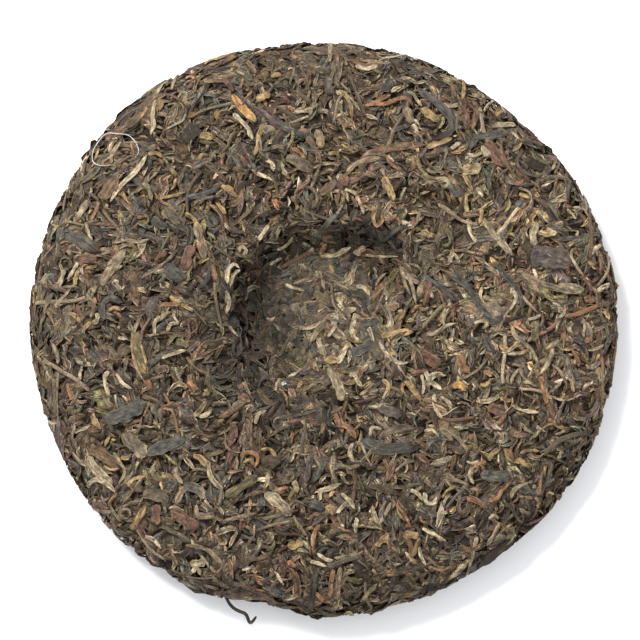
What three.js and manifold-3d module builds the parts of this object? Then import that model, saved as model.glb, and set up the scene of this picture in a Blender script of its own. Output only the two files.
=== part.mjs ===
import * as THREE from 'three';
import { mergeVertices } from 'three/addons/utils/BufferGeometryUtils.js';
import Module from 'manifold-3d';

// A round cake of pressed dark tea, lying with its knot hollow up. It is one solid: a pressed
// core with leaf-sized bumps, and the larger leaves, twists and stems fused on to it.
// Millimetres, +Z up, origin where the cake's axis meets the surface that it lies on.

// The pressed core, as a half outline from the middle of the top, over the rim, to the flat.
const CAKE_RADIUS = 98.9;
const TOP_HEIGHT = 21.6;
const RIM_HEIGHT = 10.8;
const FLAT_RADIUS = 46;
const HALF_OUTLINE = [
  [0, TOP_HEIGHT],
  [52, TOP_HEIGHT],
  [70, TOP_HEIGHT - 0.6],
  [84, TOP_HEIGHT - 2],
  [93.5, TOP_HEIGHT - 5],
  [CAKE_RADIUS, RIM_HEIGHT],
  [95.6, 5.8],
  [88, 2.7],
  [70, 0.9],
  [FLAT_RADIUS, 0],
];

// The outline seen from above: slow swells, and one dent where the edge has lost some leaf.
const OUTLINE_SWELLS = [
  { lobes: 2, swell: 0.8, towards: 165 },
  { lobes: 3, swell: 0.9, towards: 5 },
  { lobes: 7, swell: 0.4, towards: 20 },
];
const EDGE_DENT = { towards: 259, depth: 2.4, spread: 7 };

// The hollow that the knot of the cloth leaves. Its wall is steep on one side and slack opposite.
const HOLLOW = { x: 1.2, y: 5.2, alongX: 33, alongY: 29.5, depth: 11.4 };
const HOLLOW_STEEP_TOWARDS = 125;
const HOLLOW_FLOOR = { steep: 0.66, slack: 0.3 };

// Rings of the core, as distances along its skin from the middle of the top.
const TOP_RINGS = [0, 9, 16, 21, 25.5, 30, 35, 42, 51, 60.5, 70];
const RIM_RING_STEP = 6.6;
const CORE_SEGMENTS = 56;
const CORE_BUMP = 0.6;
const FULL_BUMP_SPACING = 6;
const CORE_SHIFT = 0.28;

// Leaves scattered by rule, the largest first. Lengths and widths run from the first to the last.
const SCATTERED = [
  { on: 'top', count: 68, inner: 33, outer: 90, length: [27, 12], width: [8, 3.2] },
  { on: 'hollow', count: 12, inner: 0, outer: 27, length: [15, 9], width: [5, 3] },
  { on: 'rim', count: 40, inner: 92, outer: 116, length: [23, 12], width: [6, 3] },
  { on: 'underside', count: 10, inner: 121, outer: 143, length: [22, 12], width: [7, 3.6] },
];
const SPREAD_TRIES = 14;
const LONG_LEAF = 15;
const RIM_SINK = 0.3;
const TIP_DIP = 1;
const SEED = 357;

// Corners closer than this are one. Edges shorter than the second length are closed up.
const CORNER_GAP = 0.001;
const SHORTEST_EDGE = 0.4;

// Leaves and stems that stand out, each with a path of [x, y, height above the skin].
const FLAT_LEAF = { thick: 1.1, blunt: 0.7 };
const TWIST = { thick: 1.7, blunt: 0.6 };
const STEM = { thick: 1.5, blunt: 0.25 };
const OUTSTANDING = [
  { kind: FLAT_LEAF, wide: 4.6, path: [[-31, 80, -0.4], [-27, 75.5, 0.5], [-23.5, 70.8, -0.4]] },
  { kind: FLAT_LEAF, wide: 6.4, path: [[-87, 26, -0.4], [-81, 29.5, 0.5], [-76.5, 32.5, -0.4]] },
  { kind: FLAT_LEAF, wide: 7.6, path: [[-69, -35, -0.4], [-63.5, -40, 0.6], [-60, -45, -0.4]] },
  { kind: FLAT_LEAF, wide: 6.2, path: [[-58.5, -42, -0.4], [-51, -41, 0.6], [-44.5, -37.5, -0.4]] },
  { kind: TWIST, wide: 3.2, path: [[-63.3, 4, -0.4], [-65, -4.5, 0.7], [-63, -14, 0.6], [-59, -20, -0.4]] },
  { kind: FLAT_LEAF, wide: 8.2, path: [[70.5, 27, -0.4], [78, 25, 0.6], [88, 18.5, -0.4]] },
  { kind: FLAT_LEAF, wide: 4, path: [[75, 16, -0.3], [82, 14.5, 0.6], [89.5, 11.8, -0.4]] },
  { kind: TWIST, wide: 3, path: [[43.5, 19.5, -0.4], [49, 11, 0.6], [57.5, 3.5, 0.6], [69, 4.2, -0.4]] },
  { kind: FLAT_LEAF, wide: 5.4, path: [[54, 63.5, -0.4], [57.5, 59, 0.6], [62.3, 54, -0.4]] },
  { kind: TWIST, wide: 3, path: [[53, 66.5, -0.4], [59, 68.3, 0.6], [64.7, 65.5, -0.4]] },
  { kind: FLAT_LEAF, wide: 7, path: [[55.5, -71.5, -0.4], [60.5, -76.5, 0.6], [66.5, -80, -0.4]] },
  { kind: STEM, wide: 1.7, path: [[83, 4, -0.4], [90.5, 5, 0.6], [97.5, 7.2, 1], [100, 10.2, 1.4]] },
  { kind: STEM, wide: 1.9, path: [[77, -42, -0.4], [84, -38.5, 0.6], [91, -35.5, -0.3]] },
  { kind: STEM, wide: 1.8, path: [[-45, -75, -0.4], [-38, -79.5, 0.6], [-32, -83, -0.4]] },
  { kind: FLAT_LEAF, wide: 5, path: [[-20, 54, -0.4], [-10.5, 55.5, 0.6], [-1, 53.5, -0.4]] },
  { kind: STEM, wide: 1.7, path: [[2, -78, -0.4], [7, -80.5, 0.6], [12.5, -78.5, -0.4]] },
  { kind: TWIST, wide: 2.6, path: [[8.5, 42, -0.4], [17, 46, 0.7], [28, 50, 0.6], [38, 48, -0.4]] },
  { kind: FLAT_LEAF, wide: 9, path: [[12, 63, -0.4], [22, 61, 0.6], [33, 64, -0.4]] },
];

// The dark stem that curls out of the rim beside the dent.
const CURLED_STEM = {
  thick: 1.2,
  path: [[-35.5, -94, -3], [-31.6, -98.5, 3], [-27, -99, 4.6], [-25, -99.5, 7.4], [-22.5, -98.5, 6.4]],
};

const wasm = await Module();
wasm.setup();

// Seeded draws between 0 and 1, the same on each run.
function drawsFrom(seed) {
  let state = seed;
  return () => {
    state = (state + 0x6d2b79f5) | 0;
    let mixed = Math.imul(state ^ (state >>> 15), 1 | state);
    mixed = (mixed + Math.imul(mixed ^ (mixed >>> 7), 61 | mixed)) ^ mixed;
    return ((mixed ^ (mixed >>> 14)) >>> 0) / 2 ** 32;
  };
}

const draw = drawsFrom(SEED);
const between = (low, high) => low + (high - low) * draw();
const radians = THREE.MathUtils.degToRad;

const halfOutline = new THREE.SplineCurve(HALF_OUTLINE.map(([r, z]) => new THREE.Vector2(r, z)));
halfOutline.arcLengthDivisions = 600;
const SKIN_LENGTH = halfOutline.getLength();

// How far the outline stands out of a circle in one direction.
function outlineSwell(angle) {
  const slow = OUTLINE_SWELLS.map(({ lobes, swell, towards }) => (
    swell * Math.cos(lobes * (angle - radians(towards)))
  ));
  const turn = (angle - radians(EDGE_DENT.towards)) / radians(EDGE_DENT.spread);
  const turnBack = turn + 2 * Math.PI / radians(EDGE_DENT.spread);
  const nearest = Math.min(Math.abs(turn), Math.abs(turnBack));
  return slow.reduce((sum, one) => sum + one, 0) - EDGE_DENT.depth * Math.exp(-nearest * nearest);
}

// Depth of the hollow below the top: full on its floor, none outside its brim.
function hollowDepth(x, y) {
  const across = (x - HOLLOW.x) / HOLLOW.alongX;
  const up = (y - HOLLOW.y) / HOLLOW.alongY;
  const steepness = 0.5 + 0.5 * Math.cos(Math.atan2(up, across) - radians(HOLLOW_STEEP_TOWARDS));
  const floor = THREE.MathUtils.lerp(HOLLOW_FLOOR.slack, HOLLOW_FLOOR.steep, steepness);
  return HOLLOW.depth * (1 - THREE.MathUtils.smoothstep(Math.hypot(across, up), floor, 1));
}

// The core's skin. Its point (u, v) lies as far along the skin from the middle of the top as
// (u, v) lies from zero, and in the same direction.
function skinPoint(u, v) {
  const reach = Math.min(Math.hypot(u, v), SKIN_LENGTH);
  const angle = Math.atan2(v, u);
  const { x: plainRadius, y: height } = halfOutline.getPointAt(reach / SKIN_LENGTH);
  const radius = plainRadius + outlineSwell(angle) * (plainRadius / CAKE_RADIUS) ** 3;
  const x = radius * Math.cos(angle);
  const y = radius * Math.sin(angle);
  const sunk = reach < CAKE_RADIUS ? hollowDepth(x, y) : 0;
  return new THREE.Vector3(x, y, height - sunk);
}

function skinNormal(u, v) {
  const step = 0.8;
  const alongU = skinPoint(u + step, v).sub(skinPoint(u - step, v));
  const alongV = skinPoint(u, v + step).sub(skinPoint(u, v - step));
  return alongU.cross(alongV).normalize();
}

// A closed geometry as a solid: shared corners merged, and triangles without area left out.
function solidFrom(geometry) {
  geometry.deleteAttribute('normal');
  geometry.deleteAttribute('uv');
  const merged = mergeVertices(geometry, CORNER_GAP);
  const corners = [];
  for (let i = 0; i < merged.index.count; i += 3) {
    const triangle = [0, 1, 2].map((k) => merged.index.getX(i + k));
    if (new Set(triangle).size === 3) corners.push(...triangle);
  }
  return new wasm.Manifold(new wasm.Mesh({
    numProp: 3,
    vertProperties: new Float32Array(merged.attributes.position.array),
    triVerts: new Uint32Array(corners),
  }));
}

// The pressed core: a turned body laid over the skin, with bumps the size of a leaf. Each
// corner is pushed in or out and a little to the side, except on the flat it rests on.
function pressedCore() {
  const rings = [...TOP_RINGS];
  while (rings.at(-1) + RIM_RING_STEP < SKIN_LENGTH) rings.push(rings.at(-1) + RIM_RING_STEP);
  rings[rings.length - 1] = SKIN_LENGTH;
  const turned = [new THREE.Vector2(0, 0)];
  rings.toReversed().forEach((reach) => {
    const { x, y } = halfOutline.getPointAt(reach / SKIN_LENGTH);
    turned.push(new THREE.Vector2(reach === 0 ? 0 : x, y));
  });
  const body = new THREE.LatheGeometry(turned, CORE_SEGMENTS);
  const position = body.attributes.position;
  const corner = new THREE.Vector3();
  for (let ring = 0; ring < turned.length; ring++) {
    const reach = ring === 0 ? 0 : rings[rings.length - ring];
    const gap = ring === 0 ? 0 : Math.abs(rings[rings.length - ring] - (rings[rings.length - ring - 1] ?? 0));
    for (let segment = 0; segment < CORE_SEGMENTS; segment++) {
      const free = reach > 0 && reach < SKIN_LENGTH;
      const spacing = 2 * Math.PI * turned[ring].x / CORE_SEGMENTS;
      const push = free ? between(-CORE_BUMP, CORE_BUMP) * Math.min(spacing / FULL_BUMP_SPACING, 1) : 0;
      const slide = free ? between(-CORE_SHIFT, CORE_SHIFT) * gap : 0;
      const turn = free ? between(-CORE_SHIFT, CORE_SHIFT) : 0;
      const angle = (segment + turn) * 2 * Math.PI / CORE_SEGMENTS;
      const u = (reach + slide) * Math.cos(angle);
      const v = (reach + slide) * Math.sin(angle);
      if (ring === 0) corner.set(0, 0, 0);
      else corner.copy(skinPoint(u, v)).addScaledVector(skinNormal(u, v), push);
      if (!free) corner.z = ring === turned.length - 1 ? corner.z : 0;
      position.setXYZ(segment * turned.length + ring, corner.x, corner.y, Math.max(corner.z, 0));
      if (segment === 0) {
        const seam = CORE_SEGMENTS * turned.length + ring;
        position.setXYZ(seam, corner.x, corner.y, Math.max(corner.z, 0));
      }
    }
  }
  return solidFrom(body);
}

// A leaf, twist or stem: a ball with few sides, drawn out along a path over the skin. The
// sides become its width and thickness, and its poles the two tips.
function leafAlong(path, { wide, thick, blunt, roll = 0, sides = 4, rings = 5 }) {
  const curve = new THREE.CatmullRomCurve3(path.map((point) => new THREE.Vector3(...point)));
  const body = new THREE.SphereGeometry(1, sides, rings);
  const position = body.attributes.position;
  const place = (t) => {
    const { x: u, y: v, z: lift } = curve.getPointAt(THREE.MathUtils.clamp(t, 0, 1));
    return skinPoint(u, v).addScaledVector(skinNormal(u, v), lift);
  };
  for (let i = 0; i < position.count; i++) {
    const t = (1 + position.getY(i)) / 2;
    const girth = Math.hypot(position.getX(i), position.getZ(i));
    const full = girth < 1e-6 ? 0 : girth ** (blunt - 1);
    const sideways = position.getX(i) * full * wide / 2;
    const outwards = position.getZ(i) * full * thick / 2;
    const { x: u, y: v } = curve.getPointAt(t);
    const forward = place(t + 0.04).sub(place(t - 0.04)).normalize();
    const across = forward.clone().cross(skinNormal(u, v)).normalize();
    const up = across.clone().cross(forward);
    const spot = place(t);
    spot.addScaledVector(across, sideways * Math.cos(roll) - outwards * Math.sin(roll));
    spot.addScaledVector(up, sideways * Math.sin(roll) + outwards * Math.cos(roll));
    position.setXYZ(i, spot.x, spot.y, Math.max(spot.z, 0.05));
  }
  return solidFrom(body);
}

// A path over the skin, set out from its middle: bowed sideways, and higher in the middle.
function bowedPath({ reach, angle, heading, length, bow, lift }) {
  const radius = halfOutline.getPointAt(reach / SKIN_LENGTH).x;
  return [-1, -0.35, 0.35, 1].map((t) => {
    const forward = t * length / 2;
    const aside = bow * length * (t * t - 0.5);
    const out = forward * Math.cos(heading) - aside * Math.sin(heading);
    const round = forward * Math.sin(heading) + aside * Math.cos(heading);
    const height = lift - TIP_DIP * t * t;
    if (reach < 80) {
      const u = (reach + out) * Math.cos(angle) - round * Math.sin(angle);
      const v = (reach + out) * Math.sin(angle) + round * Math.cos(angle);
      return [u, v, height];
    }
    const newAngle = angle + round / radius;
    return [(reach + out) * Math.cos(newAngle), (reach + out) * Math.sin(newAngle), height];
  });
}

// Leaves of one zone, the largest first, each at the roomiest of several drawn spots.
function scatteredLeaves({ on, count, inner, outer, length, width }, taken) {
  const leaves = [];
  for (let i = 0; i < count; i++) {
    const step = i / (count - 1);
    const long = THREE.MathUtils.lerp(length[0], length[1], step ** 0.7) * between(0.88, 1.12);
    const wide = THREE.MathUtils.lerp(width[0], width[1], step ** 0.7) * between(0.6, 1.25);
    let best = null;
    for (let tries = 0; tries < SPREAD_TRIES; tries++) {
      const reach = on === 'top' || on === 'hollow'
        ? Math.sqrt(between(inner ** 2, outer ** 2))
        : between(inner, outer);
      const angle = between(0, 2 * Math.PI);
      const spot = skinPoint(reach * Math.cos(angle), reach * Math.sin(angle));
      const room = Math.min(Infinity, ...taken.map((other) => other.distanceTo(spot)));
      if (!best || room > best.room) best = { reach, angle, spot, room };
    }
    taken.push(best.spot);
    const swing = on === 'rim' ? between(-0.6, 0.6) : between(-Math.PI / 2, Math.PI / 2);
    const flat = draw() < 0.35;
    const path = bowedPath({
      reach: best.reach,
      angle: best.angle,
      heading: Math.PI / 2 + swing,
      length: long,
      bow: between(-0.22, 0.22),
      lift: (flat ? between(0.3, 0.55) : between(0.5, 0.9)) - (on === 'rim' ? RIM_SINK : 0),
    });
    leaves.push(leafAlong(path, {
      wide: flat ? wide * 1.3 : wide * 0.8,
      thick: flat ? between(1, 1.4) : between(1.7, 2.4),
      blunt: between(0.55, 0.9),
      roll: between(-0.25, 0.25),
      rings: long > LONG_LEAF ? 5 : 4,
    }));
  }
  return leaves;
}

// The triangles of a solid as a geometry.
function geometryOf(solid) {
  const { vertProperties, triVerts } = solid.getMesh();
  const geometry = new THREE.BufferGeometry();
  geometry.setAttribute('position', new THREE.BufferAttribute(vertProperties, 3));
  geometry.setIndex(new THREE.BufferAttribute(triVerts, 1));
  return geometry;
}

// Closes up the short edges that fusing leaves: both ends meet halfway, unless that would pinch
// the surface, turn a triangle over or lift the flat that the cake rests on.
function closeShortEdges(geometry) {
  const { position } = geometry.attributes;
  const corners = Array.from({ length: position.count }, (_, i) => (
    new THREE.Vector3().fromBufferAttribute(position, i)
  ));
  const around = corners.map(() => new Set());
  const triangles = new Map();
  for (let i = 0; i < geometry.index.count; i += 3) {
    triangles.set(i, [0, 1, 2].map((k) => geometry.index.getX(i + k)));
    triangles.get(i).forEach((corner) => around[corner].add(i));
  }
  const neighbours = (corner) => (
    new Set([...around[corner]].flatMap((i) => triangles.get(i)).filter((other) => other !== corner))
  );
  const normalWith = (triangle, moved, spot) => {
    const [a, b, c] = triangle.map((corner) => (moved.includes(corner) ? spot : corners[corner]));
    return b.clone().sub(a).cross(c.clone().sub(a));
  };
  const close = (a, b) => {
    const beside = neighbours(b);
    const shared = [...neighbours(a)].filter((corner) => beside.has(corner));
    if (shared.length !== 2 || (corners[a].z === 0) !== (corners[b].z === 0)) return;
    const spot = corners[a].clone().lerp(corners[b], 0.5);
    const moving = [...around[a], ...around[b]].filter((i) => !(around[a].has(i) && around[b].has(i)));
    const turnsOver = moving.some((i) => {
      const before = normalWith(triangles.get(i), [], spot);
      return before.dot(normalWith(triangles.get(i), [a, b], spot)) <= 0;
    });
    if (turnsOver) return;
    corners[a].copy(spot);
    [...around[b]].forEach((i) => {
      if (around[a].has(i)) {
        triangles.get(i).forEach((corner) => around[corner].delete(i));
        triangles.delete(i);
      } else {
        triangles.set(i, triangles.get(i).map((corner) => (corner === b ? a : corner)));
        around[a].add(i);
      }
    });
    around[b].clear();
  };
  for (const i of [...triangles.keys()]) {
    for (let k = 0; k < 3 && triangles.has(i); k++) {
      const [a, b] = [triangles.get(i)[k], triangles.get(i)[(k + 1) % 3]];
      if (corners[a].distanceTo(corners[b]) < SHORTEST_EDGE) close(a, b);
    }
  }
  const closed = new THREE.BufferGeometry();
  const spots = corners.flatMap((corner) => corner.toArray());
  closed.setAttribute('position', new THREE.Float32BufferAttribute(spots, 3));
  closed.setIndex([...triangles.values()].flat());
  return closed;
}

// Everything fused into one body. Fusing can leave sealed hollows or loose scraps as shells of
// their own, so only the largest shell is kept.
function pressedCake() {
  const pieces = [];
  const taken = OUTSTANDING.map(({ path }) => skinPoint(path[1][0], path[1][1]));
  OUTSTANDING.forEach(({ kind, wide, path }) => pieces.push(leafAlong(path, { ...kind, wide })));
  SCATTERED.forEach((zone) => pieces.push(...scatteredLeaves(zone, taken)));
  const { thick, path } = CURLED_STEM;
  pieces.push(leafAlong(path, { wide: thick, thick, blunt: 0.3, rings: 9 }));
  const fused = pieces.reduce((whole, piece) => whole.add(piece), pressedCore());
  const largestShell = (solid) => (
    solid.decompose().reduce((largest, one) => (one.volume() > largest.volume() ? one : largest))
  );
  return geometryOf(largestShell(solidFrom(closeShortEdges(geometryOf(largestShell(fused))))));
}

const pressedLeaf = new THREE.MeshStandardMaterial({ color: 0x685c4c, roughness: 0.78, metalness: 0 });
const cake = new THREE.Mesh(pressedCake(), pressedLeaf);
cake.name = 'tea_cake';

const group = new THREE.Group();
group.add(cake);
export default group;
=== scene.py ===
import bpy
import mathutils
import numpy as np
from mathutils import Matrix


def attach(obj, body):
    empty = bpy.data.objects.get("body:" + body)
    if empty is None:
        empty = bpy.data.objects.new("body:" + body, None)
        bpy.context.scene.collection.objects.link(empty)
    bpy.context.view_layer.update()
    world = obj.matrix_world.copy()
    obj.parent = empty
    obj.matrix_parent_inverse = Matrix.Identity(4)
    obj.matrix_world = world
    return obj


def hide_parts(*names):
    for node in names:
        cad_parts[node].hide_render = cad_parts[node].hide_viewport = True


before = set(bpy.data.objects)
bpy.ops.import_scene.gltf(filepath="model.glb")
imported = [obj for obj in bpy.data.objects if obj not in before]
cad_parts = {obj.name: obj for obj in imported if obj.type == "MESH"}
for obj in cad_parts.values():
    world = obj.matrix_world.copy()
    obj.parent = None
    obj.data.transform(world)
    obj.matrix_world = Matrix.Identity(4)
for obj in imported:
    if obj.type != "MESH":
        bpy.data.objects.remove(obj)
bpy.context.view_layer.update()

# The pressed core: dark tea packed hard under steam into a round flat cake, with the hollow that
# the knot of the cloth left in its upper face. It shows only in the gaps between the leaves, and its
# tone, darker than theirs, is partly the tea's own and partly painted shade for the gaps.
# Sizes in this file are in millimetres, and a mesh is set in metres.
MM = 0.001
CAKE_RADIUS = 98.9
TOP_HEIGHT = 21.6
RIM_HEIGHT = 10.8
FLAT_RADIUS = 46.0
HALF_OUTLINE = np.array([
    (0, TOP_HEIGHT),
    (52, TOP_HEIGHT),
    (70, TOP_HEIGHT - 0.6),
    (84, TOP_HEIGHT - 2),
    (93.5, TOP_HEIGHT - 5),
    (CAKE_RADIUS, RIM_HEIGHT),
    (95.6, 5.8),
    (88, 2.7),
    (70, 0.9),
    (FLAT_RADIUS, 0),
])
OUTLINE_SWELLS = [(2, 0.8, 165), (3, 0.9, 5), (7, 0.4, 20)]
EDGE_DENT = {"towards": 259, "depth": 2.4, "spread": 7}
HOLLOW = {"x": 1.2, "y": 5.2, "along_x": 33.0, "along_y": 29.5, "depth": 11.4}
HOLLOW_STEEP_TOWARDS = 125
HOLLOW_FLOOR_STEEP = 0.66
HOLLOW_FLOOR_SLACK = 0.3
LINE_STEPS = 80
SLOPE_STEP = 0.8
CORE_DEPTH = 1.5
CORE_LEVEL = 1.4
CORE_RINGS = 120
CORE_SEGMENTS = 190
# The core's dark tea, made darker still as painted shade for the gaps between the leaves.
CORE_TONE_AND_GAP_SHADE = (44, 34, 24)
# Height of a ripple, its shortest and longest wave in mm, and how many waves are summed.
CORE_RIPPLE = (0.45, (2.5, 14), 40)
UNDERSIDE_RIPPLE = (0.2, (3, 9), 20)
TONE_RIPPLE = (0.3, (4, 12), 16)
DISC_RADIUS = 0.235
UPPER_DISC, LOWER_DISC, DISC_LEVEL = 0.25, 0.75, 0.5
SEED = 357
rng = np.random.default_rng(SEED)


def smooth_line(points):
    """A curve through the points: each stretch is a cubic whose slope at each of its ends is
    half the step between that end's two neighbours."""
    before = points[np.maximum(np.arange(len(points) - 1) - 1, 0)]
    after = points[np.minimum(np.arange(len(points) - 1) + 2, len(points) - 1)]
    first, second = points[:-1], points[1:]
    t = np.linspace(0, 1, LINE_STEPS, endpoint=False)[None, :, None]
    leave = ((second - before) / 2)[:, None]
    arrive = ((after - first) / 2)[:, None]
    a, b = first[:, None], second[:, None]
    line = (2 * a - 2 * b + leave + arrive) * t ** 3
    line = line + (3 * b - 3 * a - 2 * leave - arrive) * t ** 2 + leave * t + a
    return np.vstack([line.reshape(-1, 2), points[-1:]])


edge_line = np.vstack([smooth_line(HALF_OUTLINE), [(0, 0)]])
edge_reach = np.concatenate([[0], np.cumsum(np.hypot(*np.diff(edge_line, axis=0).T))])
WHOLE_REACH = edge_reach[-1]


def outline_swell(angle):
    """How far the outline stands out of a circle: a few slow waves, less one bell-shaped dent."""
    out = sum(swell * np.cos(lobes * (angle - np.radians(towards)))
              for lobes, swell, towards in OUTLINE_SWELLS)
    turn = (angle - np.radians(EDGE_DENT["towards"]) + np.pi) % (2 * np.pi) - np.pi
    return out - EDGE_DENT["depth"] * np.exp(-(turn / np.radians(EDGE_DENT["spread"])) ** 2)


def hollow_depth(x, y):
    """Depth of the hollow: full over its floor, easing to none at its brim, an ellipse. The
    floor reaches further out, so the wall is steeper, towards one side."""
    across = (x - HOLLOW["x"]) / HOLLOW["along_x"]
    up = (y - HOLLOW["y"]) / HOLLOW["along_y"]
    steep = 0.5 + 0.5 * np.cos(np.arctan2(up, across) - np.radians(HOLLOW_STEEP_TOWARDS))
    floor = HOLLOW_FLOOR_SLACK + (HOLLOW_FLOOR_STEEP - HOLLOW_FLOOR_SLACK) * steep
    ease = np.clip((np.hypot(across, up) - floor) / (1 - floor), 0, 1)
    return HOLLOW["depth"] * (1 - ease * ease * (3 - 2 * ease))


def skin(spots, face="top"):
    """Points of the cake's skin for spots of a flat map. A spot lies as far from the map's
    middle as the point lies, along the skin, from the middle of that face, in its direction."""
    reach = np.hypot(spots[..., 0], spots[..., 1])
    angle = np.arctan2(spots[..., 1], spots[..., 0])
    if face == "underside":
        reach = WHOLE_REACH - reach
    plain = np.interp(reach, edge_reach, edge_line[:, 0])
    height = np.interp(reach, edge_reach, edge_line[:, 1])
    radius = plain + outline_swell(angle) * (plain / CAKE_RADIUS) ** 3
    x, y = radius * np.cos(angle), radius * np.sin(angle)
    sunk = np.where(reach < CAKE_RADIUS, hollow_depth(x, y), 0)
    return np.stack([x, y, height - sunk], -1)


def unit(vectors):
    """Vectors brought to length one."""
    return vectors / np.maximum(np.linalg.norm(vectors, axis=-1, keepdims=True), 1e-9)


def skin_out(spots, face="top"):
    """Directions straight out of the skin: the cross product of its slopes along both axes of
    the map, turned to face away from the cake's inside."""
    right, up = np.array([SLOPE_STEP, 0]), np.array([0, SLOPE_STEP])
    along = skin(spots + right, face) - skin(spots - right, face)
    aside = skin(spots + up, face) - skin(spots - up, face)
    out = unit(np.cross(along, aside))
    return -out if face == "underside" else out


def ripple(spots, height, wavelengths, count, seed):
    """Uneven height, about as far up as down: a sum of sine waves of drawn lengths, directions
    and phases."""
    draw = np.random.default_rng(seed)
    long = draw.uniform(*wavelengths, count)
    way = draw.uniform(0, np.pi, count)
    phase = draw.uniform(0, 2 * np.pi, count)
    waves = spots[..., 0, None] * np.cos(way) + spots[..., 1, None] * np.sin(way)
    return height * (np.sin(waves * 2 * np.pi / long + phase).sum(-1) / np.sqrt(count))


def linear(red, green, blue):
    """A colour as seen on a screen, 0 to 255 a channel, as light."""
    value = np.array([red, green, blue]) / 255
    return np.where(value < 0.04045, value / 12.92, ((value + 0.055) / 1.055) ** 2.4)


def set_mesh(name, points, corners, starts, maps, tones, margin=None):
    """A smooth-shaded mesh from its points (mm), the corners of its faces one after another,
    where each face starts, its UV maps and a colour for each point. An edge between two points
    of a leaf's margin is sharp."""
    mesh = bpy.data.meshes.new(name)
    mesh.vertices.add(len(points))
    mesh.vertices.foreach_set("co", (points * MM).astype(np.float32).ravel())
    mesh.loops.add(len(corners))
    mesh.loops.foreach_set("vertex_index", corners.astype(np.int32))
    mesh.polygons.add(len(starts))
    mesh.polygons.foreach_set("loop_start", starts.astype(np.int32))
    mesh.polygons.foreach_set("use_smooth", np.ones(len(starts), bool))
    for title, places in maps.items():
        layer = mesh.uv_layers.new(name=title)
        layer.uv.foreach_set("vector", places.astype(np.float32).ravel())
    tone = mesh.attributes.new("tone", "FLOAT_COLOR", "POINT")
    tone.data.foreach_set("color", np.c_[tones, np.ones(len(tones))].astype(np.float32).ravel())
    mesh.update(calc_edges=True)
    if margin is not None:
        ends = np.empty(len(mesh.edges) * 2, np.int32)
        mesh.edges.foreach_get("vertices", ends)
        sharp = mesh.attributes.new("sharp_edge", "BOOLEAN", "EDGE")
        sharp.data.foreach_set("value", margin[ends].reshape(-1, 2).all(1))
    piece = bpy.data.objects.new(name, mesh)
    bpy.context.scene.collection.objects.link(piece)
    return piece


def node(tree, kind, settings=(), **inputs):
    """A shader node with its settings, and its inputs set to values or joined to outputs."""
    made = tree.nodes.new(kind)
    for key, value in dict(settings).items():
        setattr(made, key, value)
    for key, value in inputs.items():
        socket = made.inputs[int(key[1:])] if key[0] == "_" else made.inputs[key]
        if isinstance(value, bpy.types.NodeSocket):
            tree.links.new(value, socket)
        else:
            socket.default_value = value
    return made


FIBRE_SCALE = (0.28, 1.3, 1)
BLOTCH_SCALE = 0.45
SPECK_SCALE = 1.9
PATTERN_LOW, PATTERN_HIGH = 0.3, 0.7
WRINKLE_DEPTH = 0.3
LEAF_SPECULAR = 0.22


def dried_leaf(name, fibre=0.95, blotch=0.25, speck=0.45, rough=(0.55, 0.8), relief=0.7):
    """Dried tea: the leaf's own tone times three patterns, which are fine fibres drawn out along
    the leaf, soft blotches and specks, each between one less and one more its depth. Gloss
    and wrinkles follow the fibres. The patterns lie on the leaf by its map in mm."""
    material = bpy.data.materials.new(name)
    material.use_nodes = True
    tree = material.node_tree
    shader = tree.nodes["Principled BSDF"]
    tone = node(tree, "ShaderNodeAttribute", {"attribute_name": "tone"})
    place = node(tree, "ShaderNodeUVMap", {"uv_map": "grain"}).outputs[0]
    drawn = node(tree, "ShaderNodeMapping", Vector=place, Scale=FIBRE_SCALE)
    flat = {"noise_dimensions": "2D"}
    fibres = node(tree, "ShaderNodeTexNoise", flat, Vector=drawn.outputs[0], Scale=1.0,
                  Detail=4.0, Roughness=0.6)
    patches = node(tree, "ShaderNodeTexNoise", flat, Vector=place, Scale=BLOTCH_SCALE, Detail=3.0)
    specks = node(tree, "ShaderNodeTexNoise", flat, Vector=place, Scale=SPECK_SCALE, Detail=2.0)
    both = tone.outputs["Color"]
    for pattern, depth in ((fibres, fibre), (patches, blotch), (specks, speck)):
        factor = node(tree, "ShaderNodeMapRange", _0=pattern.outputs[0], _1=PATTERN_LOW,
                      _2=PATTERN_HIGH, _3=1 - depth, _4=1 + depth)
        both = node(tree, "ShaderNodeVectorMath", {"operation": "SCALE"}, _0=both,
                    _3=factor.outputs[0]).outputs[0]
    gloss = node(tree, "ShaderNodeMapRange", _0=fibres.outputs[0], _1=PATTERN_LOW,
                 _2=PATTERN_HIGH, _3=rough[0], _4=rough[1])
    wrinkles = node(tree, "ShaderNodeMath", {"operation": "ADD"}, _0=fibres.outputs[0],
                    _1=specks.outputs[0])
    bump = node(tree, "ShaderNodeBump", Height=wrinkles.outputs[0], Strength=relief,
                Distance=WRINKLE_DEPTH * MM)
    tree.links.new(both, shader.inputs["Base Color"])
    tree.links.new(gloss.outputs[0], shader.inputs["Roughness"])
    tree.links.new(bump.outputs[0], shader.inputs["Normal"])
    shader.inputs["Specular IOR Level"].default_value = LEAF_SPECULAR
    return material
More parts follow.
